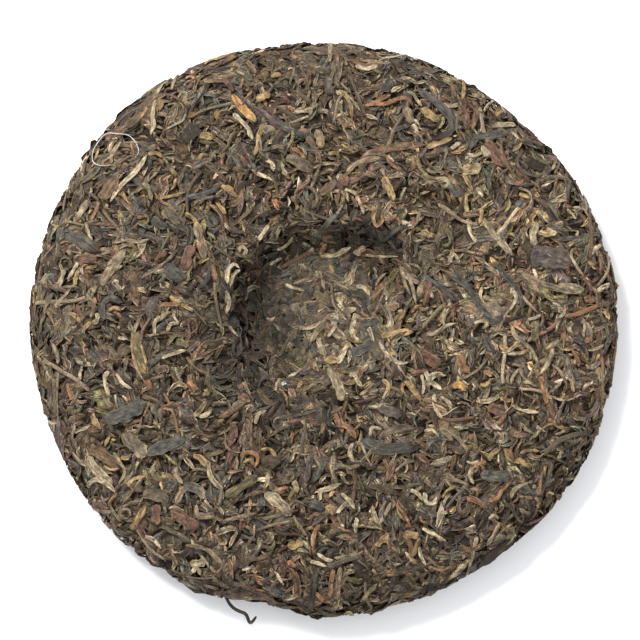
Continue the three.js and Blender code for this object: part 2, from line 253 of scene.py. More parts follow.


# Painted shade and painted light, judged against the photo, with some tea that is really darker
# or paler: soft spots darken the hollow's walls, its crevice and parts of the rim where shadow falls,
# and lighten the east side, the upper face and the hollow's floor where light falls. x, y and the
# spread of a soft spot in mm, and the factor at the spot's middle. They are part of the materials,
# so they stay under any other light.
PAINTED_LIGHT_SHADE_AND_TONE = {
    "upper_west_wall": (-28, 11, 4.5, 0.34),
    "west_wall": (-28, 1.5, 5, 0.34),
    "lower_west_wall": (-27, -10, 7, 0.44),
    "south_west_wall": (-21, -24, 10, 0.62),
    "west_slope": (-20, 0, 8, 0.6),
    "west_of_the_floor": (-13, -3, 8, 0.7),
    "outside_the_west_wall": (-36, 2, 7, 0.8),
    "outside_the_lower_wall": (-33, -14, 8, 0.78),
    "south_east_wall": (32, -20, 8, 0.85),
    "north_west_wall": (-16, 22, 7, 0.62),
    "north_west_slope": (-18, 11, 8, 0.42),
    "upper_floor": (1, 19, 9, 0.6),
    "north_east_wall": (30, 14, 8, 0.6),
    "north_crevice": (7, 29.5, 4, 0.25),
    "crevice_middle": (14, 30, 4.5, 0.13),
    "crevice_right": (21, 28, 4, 0.15),
    "crevice_end": (26, 25.5, 3.5, 0.3),
    "north_of_the_wall": (-6, 36, 7, 0.72),
    "upper_face": (6, 60, 26, 1.12),
    "north_east_of_the_wall": (24, 36, 7, 1.25),
    "south_of_the_floor": (-9, -26, 10, 0.68),
    "south_east_of_the_floor": (18, -24, 12, 0.82),
    "whole_floor": (3, 2, 24, 0.88),
    "pale_floor": (10, -4, 12, 1.1),
    "east_side": (74, 2, 48, 1.42),
    "upper_rim": (-8, 92, 12, 0.7),
    "south_east_rim": (88, -44, 11, 0.66),
    "lower_right_rim": (68, -74, 11, 0.72),
    "south_east_edge": (50, -82, 12, 0.86),
    "east_face": (80, -14, 20, 1.16),
    "north_east_face": (50, 46, 24, 1.16),
    "west_face": (-80, 14, 16, 0.9),
    "bottom_rim": (2, -94, 13, 0.8),
    "beside_the_dent": (-31, -88, 9, 0.78),
    "upper_left_rim": (-62, 78, 11, 0.86),
    "south_west_floor": (-25, -22, 6, 0.82),
    "inner_floor": (-9, -10, 9, 0.9),
}
UNSHADED_UNDER = 3.0
SHADE_EASE = 5.5


def painted_light_shade_and_tone(points):
    """Painted light and shade, with some real tone, at each place: the product of bell-shaped
    spots, one for each named place. It is raised to a power that rises from none to one with height,
    so that the spots of the upper face leave the underside as it is."""
    shade = np.ones(points.shape[:-1])
    for x, y, spread, factor in PAINTED_LIGHT_SHADE_AND_TONE.values():
        far = np.hypot(points[..., 0] - x, points[..., 1] - y) / spread
        shade = shade * factor ** np.exp(-far * far)
    return shade ** np.clip((points[..., 2] - UNSHADED_UNDER) / SHADE_EASE, 0, 1)


def pressed_core():
    """The core: rings over the skin's whole reach, each point sunk below the skin and rippled
    to the size of a leaf. The upper half is mapped to one disc and the lower to another."""
    reach = np.linspace(0, WHOLE_REACH, CORE_RINGS + 1)[1:-1]
    turn = np.linspace(0, 2 * np.pi, CORE_SEGMENTS, endpoint=False)
    way = np.stack([np.cos(turn), np.sin(turn)], -1)
    spots = reach[:, None, None] * way[None]
    below = CORE_DEPTH + ripple(spots, *CORE_RIPPLE, SEED)
    points = skin(spots) - skin_out(spots) * below[..., None]
    level = CORE_LEVEL + ripple(spots, *UNDERSIDE_RIPPLE, SEED + 1)
    points[..., 2] = np.maximum(points[..., 2], level)
    top = skin(np.zeros(2)) - (0, 0, CORE_DEPTH)
    points = np.vstack([top[None], points.reshape(-1, 3), [(0, 0, CORE_LEVEL)]])
    rings = len(reach)
    ring, segment = np.meshgrid(np.arange(rings - 1), np.arange(CORE_SEGMENTS), indexing="ij")
    after = (segment + 1) % CORE_SEGMENTS
    quads = 1 + np.stack([
        ring * CORE_SEGMENTS + segment,
        (ring + 1) * CORE_SEGMENTS + segment,
        (ring + 1) * CORE_SEGMENTS + after,
        ring * CORE_SEGMENTS + after,
    ], -1).reshape(-1, 4)
    here = np.arange(CORE_SEGMENTS)
    there = (here + 1) % CORE_SEGMENTS
    last = len(points) - 1
    ends = np.vstack([
        np.stack([np.zeros_like(here), 1 + here, 1 + there], -1),
        np.stack([np.full_like(here, last), last - CORE_SEGMENTS + there,
                  last - CORE_SEGMENTS + here], -1),
    ])
    corners = np.concatenate([quads.ravel(), ends.ravel()])
    starts = np.concatenate([np.arange(len(quads)) * 4, quads.size + np.arange(len(ends)) * 3])
    whole = np.concatenate([[0], np.repeat(reach, CORE_SEGMENTS), [WHOLE_REACH]])
    angle = np.concatenate([[0], np.tile(turn, rings), [0]])
    half = WHOLE_REACH / 2
    lower = np.concatenate([quads.max(1) > 1 + CORE_SEGMENTS * (rings // 2),
                            ends.max(1) == last])
    lower = np.concatenate([np.repeat(lower[:len(quads)], 4), np.repeat(lower[len(quads):], 3)])
    far = np.where(lower, WHOLE_REACH - whole[corners], whole[corners]) / half * DISC_RADIUS
    bake = np.stack([
        np.where(lower, LOWER_DISC, UPPER_DISC) + far * np.cos(angle[corners]),
        DISC_LEVEL + far * np.sin(angle[corners]),
    ], -1)
    grain = (bake - DISC_LEVEL) * half / DISC_RADIUS
    # The core's tone is partly dark tea and partly painted shade for the gaps.
    tones = linear(*CORE_TONE_AND_GAP_SHADE) * (1 + ripple(points[:, :2], *TONE_RIPPLE, SEED + 2))[:, None]
    # Painted shade and painted light of the spots, with some real tone, go into the core's tones.
    tones = tones * painted_light_shade_and_tone(points)[:, None]
    return set_mesh("pressed_core", points, corners, starts, {"OFBake": bake, "grain": grain}, tones)


core = pressed_core()
core.data.materials.append(dried_leaf("dark_packed_tea_and_gap_shade", rough=(0.7, 0.9)))
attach(core, "root")
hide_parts("tea_cake")

# The first layer of leaf: dark coarse leaves pressed flat into the core. It is made of torn
# leaf, lies under everything else, and is held by the pressing alone. The bed is a grid of how
# high the leaves laid so far stand over the skin.
BED_CELL = 0.5
BED_REACH = 125.0
BED_START = -1.1
BED_CAP = 0.8
BED_GIVE = 0.25
FREE_HEIGHT = 0.65
FREE_AT_RIM = 0.1
PROUD_LIMIT = 0.7
HIGHEST = 23.4
LOWEST = 0.03
LEVEL_EASE = 0.35
RIM_EASE_FROM, RIM_EASE_WIDTH = 82, 12
LEAF_STIFFNESS = 1.5
LAID_SHARE = 0.9
ACROSS = np.array([-0.42, -0.2, 0, 0.2, 0.42])
beds = {face: np.full((int(2 * BED_REACH / BED_CELL),) * 2, BED_START)
        for face in ("top", "underside")}
TOP_REACH = 117.0
SPOT_SHAKE = 0.45
SPOT_INSET = 1
LOOSE_SHARE = 0.6
SWIRL = (np.pi, (55, 110), 5)
RIM_FOLLOWERS = {"from": 93, "share": 0.65, "spread": 0.45}
BRIM_FOLLOWERS = {"at": 0.9, "within": 0.16, "share": 0.55, "spread": 0.4}
END_CROWDING = 0.65
KINK_PLACES = (0.25, 0.75)
KINK_SHARPNESS = 9
BAKE_PIXELS = 1024
BAKE_MARGIN = 1.5
GRAIN_SHIFT = (37.7, 11.3)
TEA_SHADE = 0.485
PALETTE = {
    "black_brown": (58, 45, 31),
    "dark_brown": (80, 65, 48),
    "slate": (93, 89, 79),
    "grey_brown": (110, 96, 77),
    "brown": (115, 91, 65),
    "purple_grey": (97, 85, 77),
    "olive": (118, 106, 72),
    "tan": (147, 128, 100),
    "pale_tan": (172, 154, 122),
    "golden": (170, 141, 96),
    "orange": (155, 113, 80),
    "amber": (203, 150, 86),
    "red_brown": (120, 88, 69),
    "cream": (196, 178, 144),
    "white": (226, 222, 210),
}


def evenly_spread(count, reach, middle=(0, 0)):
    """Spots spread evenly over a disc: a sunflower's pattern, each spot shaken a little and
    their order drawn."""
    place = rng.permutation(count) + 0.5
    radius = reach * np.sqrt(place / count)
    angle = place * np.pi * (3 - np.sqrt(5))
    shake = rng.normal(0, SPOT_SHAKE, (count, 2)) * reach * np.sqrt(np.pi / count) / 2
    spots = np.stack([radius * np.cos(angle), radius * np.sin(angle)], -1) + shake
    far = np.hypot(spots[:, 0], spots[:, 1])
    spots *= np.minimum(1, (reach - SPOT_INSET) / np.maximum(far, 1))[:, None]
    return spots + middle


def headings(spots):
    """Directions of leaves: some follow a slow swirl that changes over the cake, others lie any
    way, and those at the rim and round the hollow's brim mostly follow the edge."""
    count = len(spots)
    swirl = ripple(spots, *SWIRL, SEED + 3)
    way = np.where(rng.random(count) < LOOSE_SHARE, rng.uniform(0, np.pi, count),
                   swirl + rng.normal(0, 0.35, count))
    radial = np.arctan2(spots[:, 1], spots[:, 0])
    far = np.hypot(spots[:, 0], spots[:, 1])
    round_rim = (far > RIM_FOLLOWERS["from"]) & (rng.random(count) < RIM_FOLLOWERS["share"])
    aside = np.pi / 2 + rng.normal(0, RIM_FOLLOWERS["spread"], count)
    way = np.where(round_rim, radial + aside, way)
    across = (spots[:, 0] - HOLLOW["x"]) / HOLLOW["along_x"]
    up = (spots[:, 1] - HOLLOW["y"]) / HOLLOW["along_y"]
    off_brim = np.abs(np.hypot(across, up) - BRIM_FOLLOWERS["at"])
    near = off_brim < BRIM_FOLLOWERS["within"]
    brim = near & (rng.random(count) < BRIM_FOLLOWERS["share"])
    aside = np.pi / 2 + rng.normal(0, BRIM_FOLLOWERS["spread"], count)
    return np.where(brim, np.arctan2(up, across) + aside, way)


def station_shares(stations):
    """Where a leaf's stations lie from 0 to 1: between even steps and a cosine's, and so closer
    together towards both of its ends."""
    even = np.linspace(0, 1, stations)
    return (1 - END_CROWDING) * even + END_CROWDING * (1 - np.cos(np.pi * even)) / 2


def centre_lines(spots, way, length, bend, sway, kink, stations):
    """Middle lines of leaves on the map: each runs at its heading, which turns evenly by its
    bend from end to end, sways once and turns sharply by its kink at one place. The line is
    centred on its spot."""
    t = station_shares(stations)[None]
    phase = rng.uniform(0, 2 * np.pi, (len(spots), 1))
    place = rng.uniform(*KINK_PLACES, (len(spots), 1))
    turn = way[:, None] + bend[:, None] * (t - 0.5)
    turn = turn + sway[:, None] * np.sin(2 * np.pi * t + phase)
    turn = turn + kink[:, None] / 2 * np.tanh((t - place) * KINK_SHARPNESS)
    middle = (turn[:, 1:] + turn[:, :-1]) / 2
    steps = np.diff(t)[..., None] * length[:, None, None] * np.stack([np.cos(middle),
                                                                     np.sin(middle)], -1)
    line = np.concatenate([np.zeros((len(spots), 1, 2)), np.cumsum(steps, 1)], 1)
    return line - line.mean(1, keepdims=True) + spots[:, None]


def lay(face, lines, widths, thick, press):
    """Lays leaves on the bed one after another, and gives the height at which the lower face of
    each station comes to lie. A leaf rests between the mean and the highest of what is under
    its width, evened out along its length as it is stiff. What rises over the cap gives way to
    a share, and each leaf is pushed in by its own press. The bed rises to its upper face."""
    bed = beds[face]
    aside = np.gradient(lines, axis=1)
    aside = unit(np.stack([-aside[..., 1], aside[..., 0]], -1))
    stations = lines.shape[1]
    t = station_shares(stations) * (stations - 1)
    even = np.exp(-((t[:, None] - t[None]) / LEAF_STIFFNESS) ** 2)
    even /= even.sum(1, keepdims=True)
    heights = np.empty(lines.shape[:2])
    fine = np.linspace(0, stations - 1, stations * 3)
    first = np.minimum(fine.astype(int), stations - 2)
    share = (fine - first)[:, None]
    for i, line in enumerate(lines):
        spots = line[:, None] + aside[i][:, None] * (widths[i][:, None] * ACROSS)[..., None]
        cells = np.clip(((spots + BED_REACH) / BED_CELL).astype(int), 0, len(bed) - 1)
        under = bed[cells[..., 1], cells[..., 0]]
        rest = even @ ((under.mean(1) + under.max(1)) / 2)
        rest = np.minimum(rest, BED_CAP) + np.maximum(rest - BED_CAP, 0) * BED_GIVE - press[i]
        heights[i] = rest
        between = spots[first] * (1 - share[..., None]) + spots[first + 1] * share[..., None]
        upper = rest + thick[i]
        top = upper[first] * (1 - share[:, 0]) + upper[first + 1] * share[:, 0]
        cells = np.clip(((between + BED_REACH) / BED_CELL).astype(int), 0, len(bed) - 1)
        bed[cells[..., 1], cells[..., 0]] = np.maximum(bed[cells[..., 1], cells[..., 0]],
                                                        top[:, None])
    return heights


def leaf_sections(half, thick, curl, crumple, roll, sides):
    """Sections of leaves at all their stations, as (across, out). A section is a thin sheet, a
    ring of points along its lower face and back along its upper. Its left and right halves are
    arcs that turn by their curl from the midrib to the margin, so that a small curl gives a
    dish and a large one a scroll. It is crumpled, centred, and then turned by its roll."""
    ring = np.pi + 2 * np.pi * np.arange(sides) / sides
    s, rise = np.cos(ring), np.sin(ring)
    turn = np.where(s > 0, curl[1][..., None], curl[0][..., None]) * np.abs(s)
    wide = np.where(s > 0, half[1][..., None], half[0][..., None])
    x = wide * s * np.sinc(turn / np.pi)
    z = wide * np.abs(s) * turn / 2 * np.sinc(turn / (2 * np.pi)) ** 2
    lift = thick[..., None] / 2 * np.sign(rise) * np.sqrt(np.abs(rise))
    x = x - np.sin(turn) * np.sign(s) * lift
    z = z + np.cos(turn) * lift
    same = np.minimum(np.arange(sides), sides - np.arange(sides))
    z = z + crumple[..., None] * rng.normal(0, 1, half[0].shape + (sides,))[..., same]
    x = x - x.mean(2, keepdims=True)
    z = z - z.mean(2, keepdims=True)
    across = x * np.cos(roll)[..., None] - z * np.sin(roll)[..., None]
    out = x * np.sin(roll)[..., None] + z * np.cos(roll)[..., None]
    return across, out


def bent_leaves(face, lines, heights, across, out, skew):
    """Points of leaves: at each station a ring, whose points lie across and out from the middle
    line, which itself lies its height above the skin. Its skew shifts a ring's points along the
    leaf by a share of how far across they lie. What stands over the free height is pressed down
    under a limit that it never passes. Near the ground the heights are eased by a logarithm of
    one plus an exponential, which levels the leaves but keeps their order."""
    away = skin_out(lines, face)
    middle = skin(lines, face) + away * heights[..., None]
    along = unit(np.gradient(middle, axis=1))
    aside = unit(np.cross(along, away))
    upright = np.cross(aside, along)
    points = middle[:, :, None] + aside[:, :, None] * across[..., None]
    points = points + upright[:, :, None] * out[..., None]
    points = points + along[:, :, None] * (across * skew[..., None])[..., None]
    reach = np.hypot(lines[..., 0], lines[..., 1])
    rim_share = np.clip((reach - RIM_EASE_FROM) / RIM_EASE_WIDTH, 0, 1)
    free = FREE_HEIGHT + (FREE_AT_RIM - FREE_HEIGHT) * rim_share
    proud = heights[..., None] + out - free[..., None]
    proud = np.maximum(proud, 0)
    kept = PROUD_LIMIT * (1 - np.exp(-proud / PROUD_LIMIT))
    points = points - away[:, :, None] * (proud - kept)[..., None]
    points[..., 2] = LOWEST + LEVEL_EASE * np.log1p(np.exp((points[..., 2] - LOWEST) / LEVEL_EASE))
    points[..., 2] = np.minimum(points[..., 2], HIGHEST)
    return points


def close_leaves(name, points, lengths, girths, tones, material, sheet):
    """A piece of many closed leaves. The first and last ring of each is drawn together to one
    point. Each leaf has its own rectangle in the bake map, with a margin, and a map in mm. The
    margins of a sheet, at both ends of its width, are sharp."""
    count, stations, sides = points.shape[:3]
    inner = stations - 2
    body = points[:, 1:-1].reshape(count, inner * sides, 3)
    tips = np.stack([points[:, 0].mean(1), points[:, -1].mean(1)], 1)
    every = np.concatenate([tips, body], 1)
    ring, side = np.meshgrid(np.arange(inner - 1), np.arange(sides), indexing="ij")
    after = (side + 1) % sides
    quads = np.stack([
        ring * sides + side,
        (ring + 1) * sides + side,
        (ring + 1) * sides + after,
        ring * sides + after,
    ], -1).reshape(-1, 4) + 2
    j = np.arange(sides)
    k = (j + 1) % sides
    far_ring = 2 + (inner - 1) * sides
    ends = np.vstack([
        np.stack([0 * j, 2 + j, 2 + k], -1),
        np.stack([0 * j + 1, far_ring + k, far_ring + j], -1),
    ])
    shares = station_shares(stations)
    along = np.stack([ring, ring + 1, ring + 1, ring], -1).ravel() + 1
    around = np.stack([side, side, side + 1, side + 1], -1).ravel()
    end_along = np.repeat([[0, 1, 1], [inner + 1, inner, inner]], sides, 0).ravel()
    end_around = np.concatenate([
        np.stack([j + 0.5, j, j + 1], -1).ravel(),
        np.stack([j + 0.5, j + 1, j], -1).ravel(),
    ])
    u = shares[np.concatenate([along, end_along])]
    v = np.concatenate([around, end_around]) / sides
    corner = np.concatenate([quads.ravel(), ends.ravel()])
    start = np.concatenate([np.arange(len(quads)) * 4, quads.size + np.arange(len(ends)) * 3])
    offset = np.arange(count)[:, None]
    corners = (corner[None] + offset * every.shape[1]).ravel()
    starts = (start[None] + offset * len(corner)).ravel()
    columns = max(1, round(np.sqrt(count * np.median(girths) / np.median(lengths))))
    rows = -(-count // columns)
    margin_u, margin_v = BAKE_MARGIN * columns / BAKE_PIXELS, BAKE_MARGIN * rows / BAKE_PIXELS
    bake_u = (offset % columns + margin_u + (1 - 2 * margin_u) * u[None]) / columns
    bake_v = (offset // columns + margin_v + (1 - 2 * margin_v) * v[None]) / rows
    grain_u = u[None] * lengths[:, None] + offset * GRAIN_SHIFT[0]
    grain_v = v[None] * girths[:, None] + offset * GRAIN_SHIFT[1]
    maps = {
        "OFBake": np.stack([bake_u, bake_v], -1).reshape(-1, 2),
        "grain": np.stack([grain_u, grain_v], -1).reshape(-1, 2),
    }
    shades = np.concatenate([tones[:, [0, -1]].mean(2), tones[:, 1:-1].reshape(count, -1, 3)], 1)
    rim = np.zeros((inner, sides), bool)
    rim[:, [0, sides // 2]] = sheet
    margin = np.tile(np.concatenate([[sheet, sheet], rim.ravel()]), count)
    piece = set_mesh(name, every.reshape(-1, 3), corners, starts, maps, shades.reshape(-1, 3),
                     margin)
    piece.data.materials.append(material)
    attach(piece, "root")
    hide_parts("tea_cake")
    return piece


TONE_UNEVEN = 0.21
TINT_UNEVEN = 0.04


def drawn_tones(count, shares):
    """One colour for each leaf: drawn from the palette by shares, then made a little lighter or
    darker and warmer or cooler."""
    names = list(shares)
    share = np.array([shares[name] for name in names], float)
    pick = rng.choice(len(names), count, p=share / share.sum())
    tone = np.array([linear(*PALETTE[name]) for name in names])[pick] * TEA_SHADE
    shift = rng.normal(0, TONE_UNEVEN, (count, 1)) + rng.normal(0, TINT_UNEVEN, (count, 3))
    return tone * np.exp(shift)


# Shares of the palette's tones that a leaf's second tone and its tip are drawn from.
SECOND_MIX = {"dark_brown": 4, "black_brown": 2, "grey_brown": 3, "brown": 3, "tan": 2, "olive": 1,
              "golden": 1, "slate": 1}
TIP_MIX = {"golden": 2, "cream": 1, "orange": 1, "black_brown": 3, "tan": 2}
MIX_PACE = (0.3, 1.8)
MIX_LEAN = (-0.1, 0.8)
POINT_MIX = 0.3
POINT_UNEVEN = 0.12
TIPPED_SHARE = 0.22
TIP_FROM, TIP_FADE = 0.68, 0.2
MARGIN_MEAN = 0.3


def mottled(main, second, tip, shape, edge):
    """Tones over leaves of the given (leaf, station, ring) shape. Waves along the leaf and a draw for
    each point mix the main tone with the second, the margins are lighter or darker by the leaf's edge
    times the fourth power of how far out they lie, and some leaves fade to the tip tone at one end.
    The lighter margins are partly the leaf's own paler edge and partly painted highlight."""
    count, stations, sides = shape
    t = station_shares(stations)[None, :, None]
    pace = rng.uniform(*MIX_PACE, (count, 1, 1))
    wave = np.sin(2 * np.pi * (pace * t + rng.random((count, 1, 1))))
    lean = rng.uniform(*MIX_LEAN, (count, 1, 1))
    mix = np.clip(0.5 + 0.5 * wave + rng.normal(0, POINT_MIX, shape) - lean, 0, 1)
    faded = rng.random((count, 1, 1)) < TIPPED_SHARE
    tipped = faded * np.clip((t - TIP_FROM) / TIP_FADE, 0, 1)
    main, second, tip = main[:, None, None], second[:, None, None], tip[:, None, None]
    tone = main * (1 - mix[..., None]) + second * mix[..., None]
    tone = tone * (1 - tipped[..., None]) + tip * tipped[..., None]
    s = np.abs(np.cos(2 * np.pi * np.arange(sides) / sides))
    # Lighter margins: partly the leaf's paler edge, partly painted highlight where edges catch light.
    rim = 1 + edge[:, None, None] * (s ** 4 - MARGIN_MEAN)
    return tone * (rim * np.exp(rng.normal(0, POINT_UNEVEN, shape)))[..., None]


SMALL_MORE_OFTEN = 1.6
NARROW_MORE_OFTEN = 1.5
END_POWER = 0.6
FACE_DOWN_SHARE = 0.35
CURL_AT_FIRST_END, CURL_GAIN = 0.7, 0.6
THIN_END = 0.4
END_DIP = (-0.1, 0.6)
GIRTH_OF_WIDTH = 2.1


def scatter(name, spots, length, width, curl, shares, material, thick=(0.25, 0.4), face="top",
            stations=10, sides=8, taper=(0.08, 0.35), bend=0.5, sway=0.2, kink=0.3, roll=0.25,
            twist=0.5, crumple=0.18, ragged=0.24, skew=0.5, press=(0.1, 0.4), edge=(0.5, 0.45),
            sheet=True):
    """A piece of many leaves of one kind, laid over the cake. Lengths and widths are drawn more
    often small than large, and other ranges evenly. A leaf tapers over a share of its length at
    each end, its margins are torn unevenly, and each half of its width has its own curl. Its
    ends dip by the fourth power of how near they are, and are cut at a slant by the second."""
    count = len(spots)
    uneven = rng.random(count) ** SMALL_MORE_OFTEN
    broad = 0.5 * uneven + 0.5 * rng.random(count) ** NARROW_MORE_OFTEN
    long = length[0] + (length[1] - length[0]) * uneven
    wide = width[0] + (width[1] - width[0]) * broad
    heavy = rng.uniform(*thick, (count, 1)) * np.ones(stations)
    lines = centre_lines(spots, headings(spots), long, rng.normal(0, bend, count),
                         rng.normal(0, sway, count), rng.normal(0, kink, count), stations)
    t = station_shares(stations)[None]
    ends = rng.uniform(*taper, (2, count, 1))
    full = np.clip(t / ends[0], 0, 1) ** END_POWER * np.clip((1 - t) / ends[1], 0, 1) ** END_POWER
    tear = 1 + ragged * rng.uniform(-1, 1, (2, count, stations))
    half = wide[:, None] / 2 * full * tear
    curled = rng.uniform(*curl, (2, count, 1))
    gain = CURL_AT_FIRST_END + CURL_GAIN * rng.random((2, count, 1)) * t
    turned = curled * gain * np.where(rng.random((count, 1)) < FACE_DOWN_SHARE, -1, 1)
    rolled = rng.normal(0, roll, (count, 1)) + rng.normal(0, twist, (count, 1)) * (t - 0.5)
    across, out = leaf_sections(half, heavy * (THIN_END + (1 - THIN_END) * full), turned,
                                crumple * full * np.ones((count, 1)), rolled, sides)
    low, high = out.min(2), out.max(2)
    heights = lay(face, lines, across.max(2) - across.min(2), (high - low) * LAID_SHARE,
                  rng.uniform(*press, count))
    dip = rng.uniform(*END_DIP, (2, count, 1))
    heights = heights - low - dip[0] * (1 - t) ** 4 - dip[1] * t ** 4
    slant = rng.normal(0, skew, (2, count, 1))
    slanted = slant[0] * (1 - t) ** 2 + slant[1] * t ** 2
    points = bent_leaves(face, lines, heights, across, out, slanted)
    main = drawn_tones(count, shares)
    other = drawn_tones(count, SECOND_MIX)
    # The edge factor lightens the margins: partly paler leaf edge, partly painted highlight.
    tones = mottled(main, (main + other) / 2, drawn_tones(count, TIP_MIX), across.shape,
                    rng.normal(*edge, count))
    # Painted shade and painted light of the spots, with some real tone, go into the leaves' tones.
    tones = tones * painted_light_shade_and_tone(points)[..., None]
    girth = GIRTH_OF_WIDTH * wide + heavy[:, 0]
    return close_leaves(name, points, long, girth, tones, material, sheet)


DARK_MIX = {"black_brown": 3, "dark_brown": 5, "slate": 2, "grey_brown": 2, "purple_grey": 1}
plain_leaf = dried_leaf("dry_leaf")
scatter("first_layer", evenly_spread(600, TOP_REACH), length=(10, 22), width=(3, 7),
        curl=(-0.3, 0.6), shares=DARK_MIX, material=plain_leaf, stations=8, sides=6)

# Broad leaf fragments: whole pieces of the leaf blade, dried flat and dark, slate or brown. They
# are torn at the edges, thin and slightly wavy, and lie between the twists.
BLADE_MIX = {"dark_brown": 4, "slate": 3, "grey_brown": 4, "brown": 4, "purple_grey": 1, "olive": 1}
blade_leaf = dried_leaf("dry_blade", fibre=0.6, blotch=0.4, speck=0.3, rough=(0.55, 0.75))
scatter("blade_fragments", evenly_spread(250, 113), length=(8, 19), width=(4, 9), curl=(-0.25, 0.5),
        shares=BLADE_MIX, material=blade_leaf, stations=12, sides=10, crumple=0.2, ragged=0.32,
        skew=0.7, roll=0.1, twist=0.2, kink=0.2)

# Strips: leaf torn along its length and bent, the greater part of the cake's face. Each is a
# thin cupped ribbon that the pressing has locked under its neighbours.
STRIP_MIX = {"dark_brown": 4, "slate": 3, "grey_brown": 5, "brown": 4, "purple_grey": 1, "olive": 1,
             "tan": 2, "red_brown": 1, "black_brown": 2, "pale_tan": 0.6}
scatter("long_strips", evenly_spread(520, TOP_REACH), length=(7, 19), width=(1.8, 4.2),
        thick=(0.25, 0.42), curl=(-0.4, 1.5), shares=STRIP_MIX, material=plain_leaf, stations=11,
        roll=0.4, twist=0.9)

# Twists: leaves rolled by hand and by the drum into tight dark wires before they were pressed.
# Each is a sheet scrolled up on itself, so that a dark furrow winds along it.
twisted_leaf = dried_leaf("twisted_leaf", fibre=0.8, rough=(0.5, 0.7), relief=0.8)
TWIST_MIX = {"black_brown": 3, "dark_brown": 5, "slate": 3, "grey_brown": 4, "brown": 2, "tan": 1.4,
             "purple_grey": 1, "olive": 0.8}
scatter("tight_twists", evenly_spread(480, TOP_REACH), length=(6, 16), width=(2.2, 4.4),
        thick=(0.3, 0.45), curl=(1.5, 2.6), shares=TWIST_MIX, material=twisted_leaf, sides=10,
        bend=0.7, sway=0.3, roll=1.6, twist=2.4, taper=(0.1, 0.45), crumple=0.07, skew=0.2)

# Broken bits: short crumbs of strip and blade, broken off while the leaf was rolled and sorted.
# They fill the gaps between the larger leaves and are wedged there by the pressing.
BIT_MIX = {"dark_brown": 4, "slate": 2, "grey_brown": 4, "brown": 4, "tan": 3, "olive": 1,
           "red_brown": 1, "pale_tan": 1.1, "golden": 0.6, "black_brown": 3}
scatter("broken_bits", evenly_spread(3900, TOP_REACH), length=(2.5, 9), width=(0.9, 2.4),
        curl=(0.1, 1.5), shares=BIT_MIX, material=plain_leaf, stations=6, sides=4, roll=0.6,
        bend=0.8, crumple=0.1, press=(0, 0.3), taper=(0.1, 0.6))

# The upper strips and twists: the last leaves of the heap, torn or rolled like those below.
# They show whole on the face, and are held where their neighbours cross them.
UPPER_MIX = {"dark_brown": 4, "slate": 3, "grey_brown": 5, "brown": 3, "tan": 2.5, "olive": 1.4,
             "purple_grey": 1, "red_brown": 0.8, "pale_tan": 0.7, "black_brown": 1.5}
scatter("upper_strips", evenly_spread(560, TOP_REACH), length=(5, 15), width=(1.4, 3.4),
        thick=(0.25, 0.42), curl=(-0.3, 1.7), shares=UPPER_MIX, material=plain_leaf, stations=11,
        roll=0.4, twist=1.0, bend=0.7)
scatter("upper_twists", evenly_spread(520, TOP_REACH), length=(4, 13), width=(1.6, 3.4),
        thick=(0.28, 0.42), curl=(1.5, 2.6), shares=UPPER_MIX, material=twisted_leaf, sides=10,
        bend=0.9, sway=0.35, roll=1.6, twist=2.4, taper=(0.1, 0.45), crumple=0.07, skew=0.2)

# Reddish and orange leaves: torn pieces that reddened more than the rest while the tea
# withered. They lie among the upper leaves and are pressed in with them.
RED_MIX = {"red_brown": 4, "orange": 2, "brown": 2, "golden": 1}
scatter("reddened_leaves", evenly_spread(120, 112), length=(3.5, 12), width=(1.6, 4),
        curl=(-0.3, 1.3), shares=RED_MIX, material=plain_leaf)

# Stems: thin round twigs and leaf stalks, plucked with the leaf and cut short. They are woody,
# paler and smoother than the leaf, and lie half sunk among it.
stalk = dried_leaf("leaf_stalk", fibre=0.3, blotch=0.15, rough=(0.45, 0.6), relief=0.25)
STEM_MIX = {"tan": 3, "pale_tan": 2, "brown": 4, "red_brown": 2, "grey_brown": 4, "olive": 1}
scatter("stems", evenly_spread(80, 110), length=(8, 22), width=(0.9, 1.5), thick=(0.9, 1.3),
        curl=(0, 0), shares=STEM_MIX, material=stalk, taper=(0.02, 0.06), bend=0.35, sway=0.12,
        roll=0, twist=0.2, crumple=0.02, ragged=0.05, skew=0.1, edge=(0, 0.05), sheet=False)

# Golden and cream buds: young leaf tips with fine down, which stay pale when the tea dries.
# Each is a small scroll with a blunt end, pressed in among the leaves.
downy = dried_leaf("downy_bud", fibre=0.7, blotch=0.35, speck=0.2, rough=(0.6, 0.8), relief=0.5)
BUD_MIX = {"golden": 4, "cream": 3, "pale_tan": 4, "tan": 2, "olive": 1}
scatter("buds", evenly_spread(130, 112), length=(3, 11), width=(1.3, 3.2), thick=(0.3, 0.42),
        curl=(0.6, 2.2), shares=BUD_MIX, material=downy, taper=(0.25, 0.5), bend=0.8, roll=0.7,
        twist=1.2, crumple=0.06)

# Hooks: strips and stalks of leaf that dried in a curl, half a turn or more. The pressing laid
# them on their side and locked them in.
scatter("hooks", evenly_spread(200, 112), length=(4, 12), width=(1.4, 2.8), thick=(0.3, 0.4),
        curl=(1.2, 2.5), shares=UPPER_MIX, material=twisted_leaf, stations=12, bend=2.6, roll=1.0,
        twist=0.8, crumple=0.05)

# Fines on top: the small fragments of leaf that came to the face as the cake was turned out.
# They lie on it flat and are locked in by their ends.
scatter("fine_bits", evenly_spread(2600, 115), length=(2, 6.5), width=(0.7, 1.8), curl=(0.1, 1.6),
        shares=BIT_MIX, material=plain_leaf, stations=7, sides=4, roll=0.6, bend=0.9, sway=0.4,
        press=(0, 0.3), taper=(0.1, 0.6))

